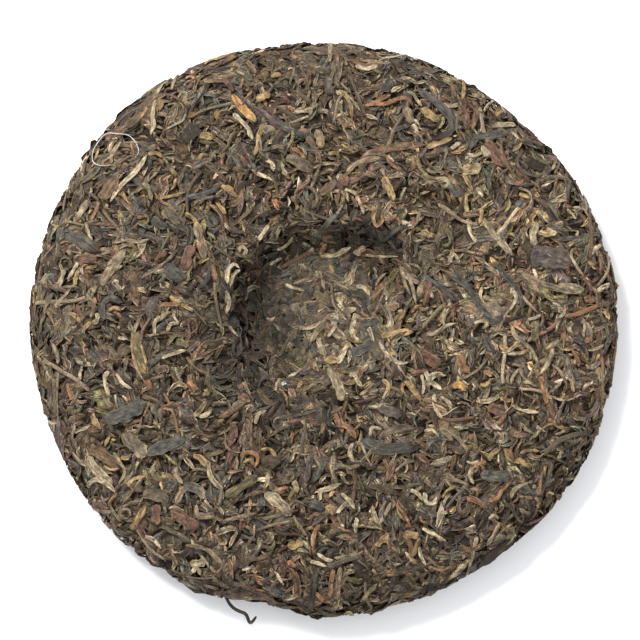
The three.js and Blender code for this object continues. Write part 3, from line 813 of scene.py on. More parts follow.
# The hollow's lining: finer leaf, pressed tight and flat by the knot of the cloth. It is paler on
# the hollow's floor and darker on its walls, partly by its leaf and partly by painted light and shade.
HOLLOW_MIX = {"dark_brown": 3, "slate": 4, "grey_brown": 5, "brown": 2, "tan": 3, "pale_tan": 1.4,
              "olive": 2, "cream": 0.3}
scatter("hollow_lining", evenly_spread(420, 27, middle=(HOLLOW["x"], HOLLOW["y"])),
        length=(2.5, 10), width=(1.4, 4), thick=(0.22, 0.35), curl=(-0.3, 0.5), shares=HOLLOW_MIX,
        material=blade_leaf, stations=8, roll=0.15, crumple=0.07, press=(0.15, 0.4))

# The leaves that stand out on the face: each is set where it is seen, along its own line. They
# are leaves, strips, tips and stems like the rest, larger or brighter, and pressed in last.
# The view is the camera's: degrees above the floor, its distance and the width of its picture
# at the aim in metres, the aim in mm, and the picture's pixels from side to side.
VIEW_ELEVATION = 82.0
VIEW_DISTANCE = 1.1
VIEW_WIDTH = 0.2180
VIEW_AIM = (-0.75, 1.7, TOP_HEIGHT * 0.5)
VIEW_PIXELS = 640
# By kind, main tone and second tone: each leaf's width in mm, and then the places that its
# middle passes through, as pixels of the view, across and down in turn.
OUTSTANDING = {
    ("flat", "amber", "golden"): {"gold_lump_right": (2.4, 453, 388, 459, 385, 467, 390),
        "flame_leaf": (3, 232, 95, 241, 107, 256, 122)},
    ("flat", "golden", "orange"): {"gold_south_of_hollow": (2.2, 304, 407, 309, 407, 314, 404)},
    ("flat", "brown", "tan"): {"brown_by_the_pale_arc": (5, 103, 200, 110, 188, 119, 180)},
    ("flat", "black_brown", "slate"): {"slate_upper_left": (4.6, 183, 141, 190, 134, 200, 129),
        "swirl_middle": (3.6, 527, 158, 534, 164, 544, 168),
        "broad_edge_leaf": (5, 479, 566, 493, 553, 514, 539)},
    ("flat", "golden", "brown"): {"gold_leaf_below": (2.8, 288, 544, 295, 545, 302, 541),
        "gold_lump_upper_left": (2.8, 200, 138, 206, 136, 213, 139),
        "gold_over_the_flame": (2.8, 256, 99, 263, 97, 269, 92),
        "gold_lump_below": (2.8, 327, 505, 331, 509, 335, 514),
        "brown_below": (2.4, 403, 535, 411, 534, 420, 537),
        "gold_brown_right": (2.2, 500, 345, 504, 348, 508, 352),
        "floor_gold": (2.4, 382, 337, 396, 334, 414, 332)},
    ("flat", "brown", "dark_brown"): {"brown_at_the_rim": (3.4, 127, 128, 134, 121, 142, 115)},
    ("flat", "grey_brown", "olive"): {"olive_patch": (4.6, 164, 208, 172, 215, 182, 224)},
    ("flat", "slate", "black_brown"): {"slate_below_olive": (2.6, 152, 219, 158, 223, 166, 229),
        "slate_oval_at_top": (3.4, 382, 92, 387, 86, 392, 80),
        "slate_oval_right": (3.8, 449, 182, 455, 189, 461, 197),
        "slate_under_red": (4.6, 164, 268, 174, 273, 184, 280),
        "slate_lump_below": (3.4, 308, 503, 316, 505, 325, 509),
        "long_dark_slate": (4.2, 360, 441, 384, 449, 420, 446),
        "floor_slate": (2.8, 361, 323, 370, 324, 380, 321),
        "floor_second_slate": (4.4, 353, 356, 365, 350, 378, 345)},
    ("flat", "tan", "grey_brown"): {"tan_by_the_flame": (3, 262, 130, 268, 130, 275, 133),
        "tan_leaf_left": (3.6, 101, 285, 112, 267, 125, 249)},
    ("flat", "grey_brown", "pale_tan"): {"grey_leaf_at_top": (4.6, 288, 155, 300, 163, 314, 170),
        "grey_triangle": (5.4, 124, 432, 134, 443, 146, 456)},
    ("flat", "orange", "brown"): {"orange_patch_at_top": (2.4, 297, 133, 302, 131, 309, 133),
        "diamond_leaf": (3.6, 457, 354, 461, 363, 467, 373),
        "orange_at_the_rim": (2, 586, 300, 590, 300, 594, 299)},
    ("flat", "tan", "golden"): {"tan_tongue_at_top": (2.8, 315, 131, 320, 138, 320, 148),
        "tan_in_the_ring": (2.8, 405, 108, 409, 115, 412, 123)},
    ("flat", "purple_grey", "brown"): {"purple_oval_at_top": (4, 327, 78, 328, 86, 330, 95),
        "broad_veined_leaf": (7.6, 530, 256, 550, 257, 572, 262),
        "purple_by_hollow": (4.2, 379, 408, 390, 411, 402, 415)},
    ("flat", "golden", "pale_tan"): {"bright_leaf_at_top": (2.8, 383, 177, 389, 188, 394, 201),
        "yellow_oval": (4.2, 463, 171, 472, 169, 481, 167),
        "floor_square_leaf": (3.6, 325, 363, 332, 362, 340, 363)},
    ("flat", "brown", "grey_brown"): {"brown_north_of_hollow": (3.2, 320, 194, 328, 188, 335, 180)},
    ("flat", "red_brown", "purple_grey"): {"red_north_of_hollow": (3, 337, 187, 343, 182, 350, 181),
        "red_area_right": (3.8, 488, 406, 496, 409, 505, 412)},
    ("flat", "golden", "olive"): {"yellow_patch": (3.4, 421, 108, 430, 115, 441, 122)},
    ("flat", "red_brown", "orange"): {"red_brown_leaf": (4.6, 484, 144, 494, 153, 504, 167),
        "red_leaf_left": (3.6, 192, 245, 187, 257, 184, 270),
        "red_bit_left": (2.6, 156, 261, 161, 256, 167, 253),
        "red_at_lower_left": (2.8, 157, 504, 157, 513, 156, 524),
        "red_lump_below": (2.4, 331, 528, 335, 526, 340, 524),
        "red_at_the_rim": (2.2, 556, 494, 559, 497, 563, 497),
        "brick_red": (2.8, 238, 395, 245, 398, 251, 401)},
    ("flat", "pale_tan", "cream"): {"pale_on_the_red": (2.4, 481, 147, 485, 152, 488, 158)},
    ("flat", "olive", "golden"): {"olive_gold_right": (2.8, 423, 174, 428, 179, 434, 184),
        "boat_leaf": (3.4, 135, 332, 138, 350, 145, 374),
        "olive_bit_left": (2.6, 176, 340, 182, 343, 189, 346)},
    ("flat", "slate", "grey_brown"): {"slate_leaf_right": (2.6, 517, 208, 520, 203, 524, 198),
        "broad_slate": (5, 104, 421, 125, 413, 147, 403), "slate_arm": (4, 146, 453, 166, 446, 186, 437)},
    ("flat", "slate", "dark_brown"): {"slate_leaf_left": (4.4, 67, 235, 84, 242, 99, 252)},
    ("flat", "red_brown", "brown"): {"red_patch_left": (2.8, 80, 257, 88, 259, 97, 258),
        "broad_red_brown": (5, 170, 509, 182, 517, 196, 530),
        "red_patch_right": (4.4, 421, 355, 430, 359, 441, 364)},
    ("flat", "tan", "red_brown"): {"red_tan_leaf": (3.4, 196, 222, 201, 240, 205, 259)},
    ("flat", "purple_grey", "grey_brown"): {"grey_oval_left": (3.4, 156, 296, 151, 305, 147, 316)},
    ("flat", "red_brown", "tan"): {"red_spot_left": (2.4, 156, 373, 161, 369, 167, 368)},
    ("flat", "orange", "olive"): {"orange_spot_left": (2.6, 188, 381, 192, 386, 197, 391)},
    ("flat", "brown", "red_brown"): {"edge_lump": (3.6, 43, 403, 46, 408, 51, 414)},
    ("flat", "brown", "olive"): {"brown_gold_edged": (4.8, 92, 447, 106, 457, 119, 468)},
    ("flat", "pale_tan", "grey_brown"): {"pale_leaf_left": (3.8, 89, 456, 97, 470, 113, 484),
        "pale_leaf_below": (3.8, 266, 492, 279, 503, 292, 514),
        "pale_end_of_the_vein": (2.8, 558, 286, 570, 287, 583, 291)},
    ("flat", "pale_tan", "golden"): {"pale_at_lower_left": (2.8, 190, 562, 197, 563, 206, 561)},
    ("flat", "slate", "pale_tan"): {"green_slate_left": (3.4, 184, 484, 194, 488, 206, 495)},
    ("flat", "grey_brown", "purple_grey"): {"grey_at_lower_left": (3.8, 143, 493, 156, 495, 169, 500)},
    ("flat", "dark_brown", "purple_grey"): {"dark_by_the_knot": (4.6, 260, 464, 270, 461, 281, 463)},
    ("flat", "olive", "dark_brown"): {"olive_leaf_below": (4.2, 226, 498, 240, 488, 258, 476)},
    ("flat", "pale_tan", "olive"): {"pale_stub_below": (2, 293, 481, 296, 486, 297, 493),
        "pale_at_the_rim": (2.8, 596, 368, 599, 374, 602, 381),
        "floor_second_pale": (2.4, 318, 338, 321, 348, 325, 359)},
    ("flat", "golden", "cream"): {"gold_stub_right": (2.2, 538, 232, 548, 234, 556, 232),
        "gold_tip": (2.4, 421, 232, 427, 234, 433, 237)},
    ("flat", "slate", "olive"): {"slate_green": (3.8, 480, 474, 495, 476, 511, 476)},
    ("flat", "orange", "tan"): {"orange_tan_right": (2.4, 562, 333, 564, 338, 566, 342)},
    ("flat", "tan", "orange"): {"tan_leaf_right": (2.8, 463, 308, 470, 309, 478, 314)},
    ("flat", "olive", "pale_tan"): {"green_leaf_right": (2.8, 535, 320, 535, 330, 533, 341),
        "olive_lump_right": (2.8, 492, 296, 500, 294, 507, 297)},
    ("flat", "pale_tan", "tan"): {"tan_tongue_right": (3, 536, 222, 533, 233, 534, 246),
        "wall_arc": (2, 320, 256, 334, 254, 343, 249, 352, 245)},
    ("flat", "pale_tan", "orange"): {"wall_knot": (2.6, 357, 253, 361, 248, 367, 246)},
    ("flat", "olive", "cream"): {"floor_pale_leaf": (2, 310, 343, 316, 333, 326, 322)},
    ("flat", "cream", "golden"): {"floor_cream_leaf": (2.2, 339, 366, 344, 354, 351, 343)},
    ("flat", "cream", "olive"): {"floor_green_cream": (1.8, 356, 320, 352, 329, 357, 340),
        "floor_white_bit": (1.6, 370, 328, 373, 336, 375, 346)},
    ("flat", "tan", "pale_tan"): {"floor_grey_leaf": (4, 330, 369, 337, 384, 344, 400)},
    ("strip", "pale_tan", "orange"): {"bright_on_the_wall": (1.1, 366, 253, 382, 255, 399, 256),
        "pink_tan_right": (1.8, 573, 322, 569, 329, 574, 336),
        "v_right": (1.3, 391, 502, 385, 514, 378, 525),
        "peach_slant": (1.6, 500, 522, 492, 536, 486, 545)},
    ("strip", "pale_tan", "olive"): {"upper_left_strip": (1.7, 156, 100, 153, 116, 154, 126, 151, 135),
        "pale_olive_at_top": (1.8, 281, 160, 283, 169, 287, 177),
        "green_tip": (1.8, 330, 43, 330, 52, 330, 62),
        "pale_leaf_right": (2.4, 494, 125, 505, 125, 516, 124),
        "pale_far_left": (1.5, 86, 222, 89, 232, 93, 242),
        "pale_nw_of_hollow": (1.7, 276, 248, 285, 243, 292, 235),
        "pale_on_the_wall": (1.6, 268, 263, 274, 259, 281, 256),
        "bent_cream_end": (1.4, 239, 269, 233, 276, 230, 288),
        "brim_strip": (1.5, 225, 290, 229, 300, 226, 314),
        "brim_short": (1, 229, 326, 233, 331, 238, 337),
        "floor_bits_west": (1.3, 265, 319, 270, 321, 275, 317)},
    ("strip", "pale_tan", "grey_brown"): {"rim_pale": (1.6, 157, 95, 162, 86, 169, 81),
        "rim_second_pale": (1.4, 172, 90, 175, 80, 180, 74),
        "pale_left": (2.6, 88, 200, 83, 210, 76, 222),
        "right_of_the_ring": (1.4, 408, 91, 415, 97, 422, 107),
        "thin_pale_pair": (1, 406, 187, 402, 194, 400, 203),
        "pale_edge_left": (1.9, 65, 270, 62, 279, 59, 290),
        "pale_spur_left": (1.5, 172, 311, 164, 315, 158, 322),
        "south_second_grey": (1.6, 255, 424, 258, 415, 266, 410),
        "pale_grey_leaf": (2.5, 483, 219, 494, 236, 504, 246, 513, 256),
        "long_pale_right": (1.5, 426, 333, 436, 333, 446, 326, 458, 323),
        "grey_fork": (1.7, 511, 325, 516, 337, 530, 348, 536, 358, 540, 374),
        "pale_curve_right": (1.5, 440, 397, 448, 402, 452, 410),
        "pale_bent_left": (1.7, 113, 452, 121, 464, 125, 472, 119, 484),
        "pale_at_left_edge": (1.3, 73, 452, 79, 460, 87, 466),
        "pale_bend_below": (1.5, 511, 498, 514, 489, 528, 482),
        "pale_upright_below": (1.5, 477, 536, 473, 549, 471, 562)},
    ("strip", "golden", "orange"): {"orange_gold": (1.9, 185, 213, 194, 219, 200, 230),
        "gold_by_hollow": (2.2, 405, 381, 412, 388, 421, 401),
        "gold_left_of_hollow": (2.8, 221, 187, 229, 190, 237, 198),
        "rim_gold": (1.5, 205, 64, 212, 61, 219, 60),
        "gold_by_the_strip": (1.6, 147, 107, 144, 113, 141, 119),
        "gold_in_the_loop": (1.1, 96, 160, 98, 154, 100, 148),
        "gold_short": (1.6, 217, 202, 221, 208, 226, 214),
        "gold_brown_at_top": (1.3, 231, 72, 234, 67, 238, 63),
        "gold_drop": (1.5, 462, 173, 467, 181, 473, 191),
        "gold_stripe": (1.5, 481, 209, 481, 216, 479, 224),
        "gold_flake": (1.7, 519, 194, 524, 196, 529, 198),
        "gold_spur_left": (2, 79, 270, 76, 278, 75, 286),
        "south_gold": (1.4, 297, 392, 299, 387, 302, 382),
        "gold_spark_left": (1.5, 121, 457, 126, 458, 131, 456),
        "gold_tan_left": (2.4, 131, 530, 139, 518, 146, 506),
        "gold_under_hook": (1.5, 329, 497, 332, 493, 335, 492),
        "gold_leaf_right_below": (2.6, 376, 546, 382, 540, 389, 533)},
    ("strip", "orange", "brown"): {"orange_in_the_loop": (1, 131, 143, 133, 151, 134, 158),
        "orange_left": (1.5, 99, 205, 95, 213, 91, 221),
        "ring_upper_arm": (1.7, 365, 106, 376, 102, 391, 94),
        "orange_north": (1.2, 384, 220, 391, 219, 397, 214),
        "orange_short": (1.3, 514, 184, 519, 184, 523, 179),
        "orange_by_hollow": (1.9, 213, 264, 214, 272, 217, 282),
        "orange_far_right": (1.3, 573, 350, 576, 357, 580, 365),
        "orange_brown_leaf": (2.2, 342, 424, 351, 430, 356, 439),
        "orange_upright": (1.3, 512, 446, 510, 453, 514, 461)},
    ("strip", "grey_brown", "pale_tan"): {"grey_below_the_arc": (1.5, 121, 199, 128, 208, 135, 216),
        "grey_pale_right": (1.7, 454, 110, 458, 120, 456, 131),
        "swirl_tail": (1.7, 538, 181, 556, 177, 573, 183),
        "long_edge_left": (2.2, 53, 292, 46, 307, 41, 325),
        "long_thin_left": (1.5, 139, 280, 152, 271, 166, 262, 178, 248),
        "grey_arc_left": (1.7, 101, 347, 111, 349, 118, 361),
        "grey_by_boat": (1.7, 127, 355, 125, 366, 122, 378),
        "south_grey": (1.6, 250, 412, 256, 407, 262, 404),
        "grey_arc_far_below": (1.7, 440, 430, 447, 434, 453, 441)},
    ("strip", "olive", "pale_tan"): {"olive_left": (2, 144, 181, 149, 190, 152, 201),
        "floor_olive_spur": (1.1, 304, 263, 308, 267, 313, 272)},
    ("strip", "tan", "golden"): {"tan_spur": (1.3, 161, 200, 164, 192, 169, 185),
        "tan_near_hollow": (2, 347, 173, 356, 164, 368, 160, 382, 158),
        "floor_tan_spur": (1.3, 319, 271, 322, 280, 325, 290)},
    ("strip", "golden", "olive"): {"gold_line": (1.2, 161, 198, 172, 196, 186, 192),
        "second_scribble": (1.7, 91, 321, 85, 328, 83, 335),
        "gold_cluster": (2.2, 92, 413, 95, 421, 101, 429),
        "gold_olive_left": (2.2, 193, 455, 202, 459, 207, 468),
        "gold_slant": (1.8, 488, 460, 493, 453, 500, 449)},
    ("strip", "slate", "black_brown"): {"long_slate_left": (2.1, 186, 197, 205, 194, 222, 184),
        "slate_by_flame": (2.3, 268, 117, 280, 123, 290, 133),
        "wall_slate": (2.4, 318, 232, 330, 220, 345, 210),
        "dark_loop": (3, 418, 91, 440, 106, 452, 122, 448, 134, 430, 139),
        "curved_slate": (2.6, 471, 149, 476, 138, 494, 136, 509, 135),
        "slate_ring_left": (2.8, 104, 320, 102, 306, 110, 298, 123, 302),
        "long_slate_leaf": (2.8, 446, 271, 466, 286, 480, 307, 490, 318, 508, 320, 524, 315),
        "slate_branch": (2.4, 496, 267, 510, 281, 520, 295, 522, 311),
        "slate_right": (2.4, 484, 333, 489, 344, 498, 354),
        "slate_slant": (2.4, 326, 456, 320, 470, 310, 484)},
    ("strip", "orange", "golden"): {"orange_on_the_wall": (1.9, 326, 241, 322, 248, 320, 254),
        "orange_by_gold": (1.3, 404, 383, 402, 389, 405, 395),
        "orange_red": (2.2, 539, 376, 544, 390, 546, 405),
        "orange_under_arc": (1.5, 118, 493, 112, 499, 109, 508),
        "orange_by_pale": (1.5, 274, 492, 281, 489, 289, 487),
        "orange_foot": (1.6, 316, 592, 322, 598, 331, 602),
        "orange_dash": (1.5, 473, 468, 480, 463, 487, 464),
        "orange_slant": (1.7, 488, 501, 497, 497, 504, 487, 511, 481),
        "orange_spur": (1.3, 501, 523, 505, 527, 508, 533),
        "orange_band": (1.5, 461, 546, 470, 549, 481, 543),
        "rim_orange_below": (1.3, 444, 586, 451, 583, 458, 579)},
    ("strip", "cream", "pale_tan"): {"white_stub": (1.1, 512, 133, 515, 136, 519, 140),
        "white_thread_left": (0.8, 173, 312, 175, 318, 179, 323),
        "cream_hook_left": (1.7, 110, 372, 105, 376, 106, 386, 110, 396),
        "white_strip": (1.4, 116, 374, 123, 383, 132, 389),
        "floor_cream_stub": (1.7, 356, 286, 364, 288, 371, 295),
        "floor_white_arc": (1.5, 380, 343, 388, 355, 398, 363, 409, 362),
        "floor_white_strip": (1.2, 351, 352, 351, 358, 349, 365),
        "cream_arc_right": (1.4, 468, 222, 471, 235, 478, 243),
        "cream_line_right": (1.1, 528, 319, 534, 318, 541, 315),
        "cream_arc_by_stem": (1.1, 565, 308, 563, 314, 558, 318),
        "cream_fork": (1.9, 425, 370, 430, 380, 442, 390),
        "cream_by_gold": (1.4, 421, 375, 424, 384, 422, 395),
        "cream_fork_arm": (1.4, 346, 502, 341, 508, 336, 513),
        "cream_curve": (1.5, 318, 553, 326, 559, 334, 560),
        "cream_line_by_stem": (1.3, 310, 561, 318, 563, 327, 566),
        "cream_dash_below": (1.2, 242, 569, 248, 568, 254, 565)},
    ("strip", "golden", "tan"): {"gold_under_flame": (1.6, 259, 132, 258, 144, 254, 156),
        "gold_at_the_rim": (1.1, 554, 158, 554, 164, 552, 170),
        "gold_under_loop": (1.8, 426, 147, 440, 143, 453, 137),
        "floor_second_fan": (1.1, 354, 271, 353, 278, 351, 286),
        "gold_pair": (1.3, 520, 453, 528, 450, 540, 451),
        "gold_hook_right": (1.2, 534, 496, 538, 501, 537, 509)},
    ("strip", "grey_brown", "tan"): {"thin_line_at_top": (1, 282, 110, 288, 124, 295, 138),
        "grey_tan_at_top": (1.5, 262, 151, 278, 146, 297, 142),
        "grey_north": (1.5, 320, 164, 316, 176, 310, 190),
        "grey_arm_left": (1.5, 187, 352, 194, 347, 201, 340),
        "thin_arc_left": (1.2, 52, 364, 52, 376, 60, 387),
        "fan_line": (1.2, 521, 276, 527, 285, 534, 297),
        "long_grey_below": (1.4, 262, 519, 278, 515, 296, 510),
        "thin_curve_below": (1.3, 386, 486, 402, 487, 422, 483)},
    ("strip", "brown", "grey_brown"): {"brown_at_top": (2.2, 308, 136, 314, 148, 321, 160),
        "brown_by_slate": (1.9, 141, 396, 154, 400, 166, 408)},
    ("strip", "grey_brown", "black_brown"): {
        "bent_dark_at_top": (1.5, 348, 66, 352, 80, 360, 104, 368, 120)},
    ("strip", "pale_tan", "tan"): {"pale_line_at_top": (1, 338, 90, 346, 94, 355, 104, 361, 112),
        "pale_arc_at_top": (1.5, 399, 81, 407, 78, 416, 83, 428, 80),
        "pale_north": (1.3, 345, 189, 353, 192, 359, 197),
        "pale_right": (2, 443, 104, 451, 106, 459, 104),
        "thin_arc_right": (0.8, 518, 188, 528, 192, 531, 200, 528, 206),
        "thin_pale_left": (1.1, 54, 308, 62, 299, 72, 288),
        "long_pale_left": (1.9, 161, 358, 174, 353, 187, 350),
        "floor_bits_north": (1.3, 285, 284, 294, 288, 305, 291),
        "east_second_upright": (1.3, 408, 271, 414, 289, 417, 306),
        "south_pale": (1.3, 288, 378, 295, 375, 302, 370),
        "pale_line_right": (1.1, 521, 295, 529, 304, 538, 313),
        "pale_by_orange": (1.1, 523, 382, 530, 383, 537, 386),
        "pale_short_right": (1.3, 444, 284, 452, 285, 458, 283),
        "v_left": (1.8, 372, 506, 374, 515, 378, 524),
        "pale_tan_below": (1.4, 299, 444, 294, 452, 290, 463),
        "pale_fork_arm": (1.1, 451, 492, 446, 498, 443, 505),
        "pale_edge_below": (1.1, 470, 561, 468, 570, 464, 579),
        "pale_by_the_rim": (1.3, 562, 450, 560, 455, 557, 459)},
    ("strip", "golden", "brown"): {"gold_line_at_top": (1.3, 342, 92, 350, 104, 352, 120),
        "gold_brown_strip": (1.9, 462, 80, 464, 90, 462, 100),
        "gold_scribble": (1.6, 67, 312, 76, 316, 81, 323),
        "gold_edge_line": (1.1, 104, 466, 112, 469, 120, 468),
        "second_gold_pair": (1.6, 519, 459, 524, 464, 533, 465)},
    ("strip", "orange", "red_brown"): {"orange_at_top": (1.6, 290, 55, 295, 58, 302, 61),
        "ring_lower_arm": (1.7, 372, 105, 386, 104, 398, 99, 408, 99, 414, 107),
        "orange_leg": (1.8, 333, 568, 331, 584, 332, 600),
        "orange_red_below": (2.2, 467, 497, 477, 501, 487, 508)},
    ("strip", "brown", "tan"): {"brown_tan_at_top": (2.4, 247, 61, 251, 67, 256, 74),
        "brown_right": (1.9, 450, 82, 453, 90, 455, 98),
        "arc_by_the_swirl": (1.6, 501, 142, 502, 154, 508, 168, 520, 182)},
    ("strip", "red_brown", "tan"): {"red_tan_at_top": (1.3, 239, 90, 242, 84, 243, 78),
        "red_stripe_left": (1.7, 95, 297, 94, 307, 91, 318),
        "red_stripe": (1.7, 384, 459, 388, 470, 386, 482),
        "second_red_stripe": (1.5, 397, 459, 393, 470, 388, 481)},
    ("strip", "cream", "golden"): {"yellow_arc_below": (1.6, 144, 536, 153, 538, 162, 548),
        "long_pale_arc": (2, 147, 155, 137, 171, 124, 183, 110, 202),
        "cream_at_top": (1.9, 355, 66, 366, 69, 379, 66),
        "ring_pale_tip": (1.6, 412, 124, 416, 130, 417, 135),
        "rim_arc": (1.1, 567, 209, 571, 213, 575, 219), "edge_arc": (1.2, 47, 418, 52, 422, 59, 422),
        "cream_nw_of_hollow": (1.7, 258, 240, 264, 232, 269, 225),
        "cream_below_fork": (1.6, 434, 394, 435, 407, 442, 419),
        "cream_line_below": (1.4, 512, 405, 524, 411, 540, 412),
        "yellow_arc_left": (1.9, 88, 485, 96, 479, 106, 482, 116, 492),
        "cream_fork_below": (1.8, 341, 493, 349, 500, 355, 509)},
    ("strip", "tan", "pale_tan"): {"tan_at_top": (1.4, 360, 61, 374, 62, 388, 65),
        "tan_edge_left": (1.7, 53, 343, 57, 352, 58, 364),
        "floor_fan": (1.5, 358, 263, 350, 277, 343, 284),
        "east_spur": (1.1, 377, 286, 381, 278, 388, 272),
        "tan_arc_right": (1.5, 483, 296, 494, 302, 503, 312),
        "tan_curve_right": (1.3, 519, 369, 513, 376, 511, 385),
        "tan_over_stem": (1.3, 334, 558, 346, 556, 358, 553)},
    ("strip", "cream", "tan"): {"bent_cream": (1.7, 227, 284, 228, 271, 234, 264, 239, 268),
        "cream_stub_at_top": (1.5, 391, 92, 396, 89, 401, 87),
        "cream_streak": (0.9, 337, 214, 340, 209, 343, 205),
        "second_cream_arc": (1.1, 495, 101, 500, 106, 505, 115),
        "cream_spur_left": (1.3, 79, 262, 72, 273, 68, 280),
        "cream_tan_arc": (1.4, 510, 288, 516, 298, 508, 312),
        "cream_hook_below": (1.8, 319, 501, 321, 491, 330, 488, 342, 483),
        "cream_tan_below": (1.3, 275, 571, 280, 578, 284, 585),
        "cream_arc_mid_below": (1.4, 410, 490, 417, 493, 423, 501),
        "cream_arc_far_below": (1.1, 424, 431, 432, 430, 438, 436),
        "cream_dash": (1.1, 466, 461, 472, 463, 479, 460),
        "cream_slant_below": (1.4, 422, 528, 432, 533, 446, 541)},
    ("strip", "brown", "slate"): {"broad_swirl": (2.8, 374, 152, 398, 147, 426, 145)},
    ("strip", "pale_tan", "golden"): {"cream_north": (1.5, 356, 196, 361, 204, 364, 214),
        "floor_south": (1.6, 352, 373, 357, 380, 362, 388),
        "south_second_pale": (1.4, 280, 379, 277, 385, 274, 391),
        "bent_pale_right": (1.6, 451, 303, 444, 314, 444, 326),
        "cream_by_knot": (1.5, 267, 473, 268, 480, 264, 489),
        "pale_gold_bend": (2, 473, 467, 470, 475, 474, 484),
        "rim_cream_below": (1.5, 516, 544, 522, 540, 529, 534)},
    ("strip", "red_brown", "orange"): {"red_north": (1.3, 350, 221, 356, 219, 363, 221),
        "red_right": (2, 506, 412, 502, 418, 500, 425)},
    ("strip", "pale_tan", "slate"): {"pale_green_curl": (1.5, 318, 104, 312, 109, 310, 117),
        "curve_far_right": (1.3, 585, 322, 590, 330, 591, 338),
        "pale_slate_left": (1.8, 177, 466, 176, 475, 183, 484),
        "pale_slate_below": (1.2, 360, 442, 365, 452, 370, 464)},
    ("strip", "slate", "grey_brown"): {"rim_slate": (2.2, 428, 74, 438, 70, 449, 70),
        "slate_by_boat": (1.9, 148, 365, 156, 360, 163, 352),
        "slate_line_right": (1.6, 556, 240, 578, 237, 602, 234),
        "long_dark_right": (1.9, 420, 275, 438, 285, 455, 301)},
    ("strip", "golden", "cream"): {"gold_bit_right": (1.3, 431, 87, 434, 90, 434, 95),
        "star_upper": (1.7, 170, 296, 177, 301, 184, 302),
        "star_right": (1.6, 181, 304, 187, 307, 193, 311),
        "boat_left_rim": (1.1, 134, 326, 132, 346, 136, 366, 144, 381),
        "boat_right_rim": (1, 137, 337, 143, 350, 146, 362, 148, 373),
        "floor_gold_streak": (1.5, 352, 333, 355, 338, 360, 343),
        "yellow_hook": (1.7, 382, 379, 388, 385, 387, 393, 382, 399),
        "gold_upright_left": (1.3, 109, 436, 107, 441, 105, 447),
        "gold_fork_left": (1.5, 128, 485, 134, 479, 145, 476),
        "gold_fork": (1.3, 442, 498, 448, 490, 456, 485)},
    ("strip", "red_brown", "brown"): {"red_swirl": (1.9, 458, 106, 466, 114, 466, 128),
        "second_red_swirl": (1.9, 468, 104, 476, 112, 472, 130),
        "brown_upright_right": (2.2, 430, 280, 428, 293, 424, 306)},
    ("strip", "pale_tan", "cream"): {"small_cream_arc": (1, 485, 110, 488, 105, 494, 101),
        "cream_by_red": (1.3, 467, 153, 474, 156, 482, 152),
        "cream_curl_left": (1.7, 160, 316, 154, 324, 155, 336),
        "floor_streak": (1.4, 328, 337, 332, 331, 337, 325),
        "cream_leg": (1.7, 450, 263, 451, 257, 453, 252),
        "grey_fork_arm": (2.1, 553, 349, 548, 363, 540, 374),
        "pale_far_right": (1.1, 588, 350, 597, 348, 604, 344),
        "cream_corner": (1.3, 370, 436, 372, 428, 382, 429)},
    ("strip", "purple_grey", "grey_brown"): {"swirl_ring": (1.4, 523, 149, 516, 162, 526, 174, 541, 177),
        "purple_upright": (2.8, 312, 452, 309, 468, 306, 484)},
    ("strip", "pale_tan", "red_brown"): {"pink_at_the_rim": (1.1, 545, 142, 548, 148, 552, 151),
        "pink_on_slate": (1.5, 112, 412, 121, 410, 130, 406),
        "pink_strip": (2, 208, 460, 211, 477, 223, 490),
        "pale_red_below": (1.8, 353, 443, 350, 453, 355, 464),
        "pink_dash_below": (1.5, 246, 526, 251, 530, 254, 536)},
    ("strip", "cream", "olive"): {"cream_olive": (1.7, 476, 188, 480, 193, 483, 197)},
    ("strip", "cream", "orange"): {"rim_second_arc": (1.2, 573, 207, 582, 209, 589, 218),
        "tan_hook_left": (1.4, 179, 324, 171, 324, 167, 333),
        "thin_cream_arc": (1.1, 573, 248, 571, 257, 578, 269, 584, 277),
        "cream_by_fork": (1.2, 507, 354, 520, 353, 530, 349),
        "cream_at_lower_left": (1.8, 192, 572, 197, 567, 201, 575),
        "cream_orange_below": (1.3, 419, 546, 421, 556, 426, 565)},
    ("strip", "cream", "white"): {"cream_under_flame": (2.1, 233, 113, 242, 121, 249, 130, 253, 140),
        "white_leaf_below": (1.6, 357, 517, 356, 525, 355, 533),
        "white_bit": (1.6, 451, 149, 456, 145, 461, 141)},
    ("strip", "tan", "cream"): {"tan_line_left": (1.4, 113, 243, 126, 240, 138, 242, 151, 239)},
    ("strip", "orange", "tan"): {"star_left": (1.9, 160, 305, 171, 304, 181, 305),
        "orange_u": (1.9, 68, 383, 73, 397, 81, 402, 87, 400),
        "v_outer": (1.2, 396, 504, 405, 516, 412, 529),
        "orange_tan_below": (1.3, 428, 566, 440, 569, 452, 565)},
    ("strip", "tan", "grey_brown"): {"boat_stem": (1.5, 140, 317, 136, 326, 133, 336),
        "south_long": (1.3, 302, 391, 314, 385, 328, 377),
        "long_vein": (2.6, 520, 273, 540, 283, 560, 289, 582, 294),
        "second_fan_line": (1.2, 527, 275, 533, 284, 541, 295),
        "tan_at_left_edge": (1.2, 111, 506, 117, 515, 123, 524),
        "tan_arc_below": (1.5, 440, 478, 456, 480, 468, 485)},
    ("strip", "cream", "grey_brown"): {"cream_stub_left": (1.5, 118, 337, 123, 338, 128, 339)},
    ("strip", "cream", "red_brown"): {"pink_spur_left": (1.3, 82, 366, 80, 374, 80, 382),
        "cream_on_red": (0.9, 169, 508, 177, 507, 185, 512)},
    ("strip", "tan", "red_brown"): {"tan_hook_below_left": (1.4, 170, 407, 177, 405, 181, 411, 180, 418),
        "south_tan": (1.5, 243, 382, 247, 389, 250, 396),
        "red_tan_right": (1.3, 552, 365, 560, 372, 567, 385),
        "pink_arc": (1.5, 197, 504, 198, 516, 211, 517, 226, 521)},
    ("strip", "olive", "tan"): {"east_arc": (1.3, 386, 284, 394, 279, 399, 270)},
    ("strip", "tan", "olive"): {"east_upright": (1.5, 402, 265, 406, 281, 411, 295),
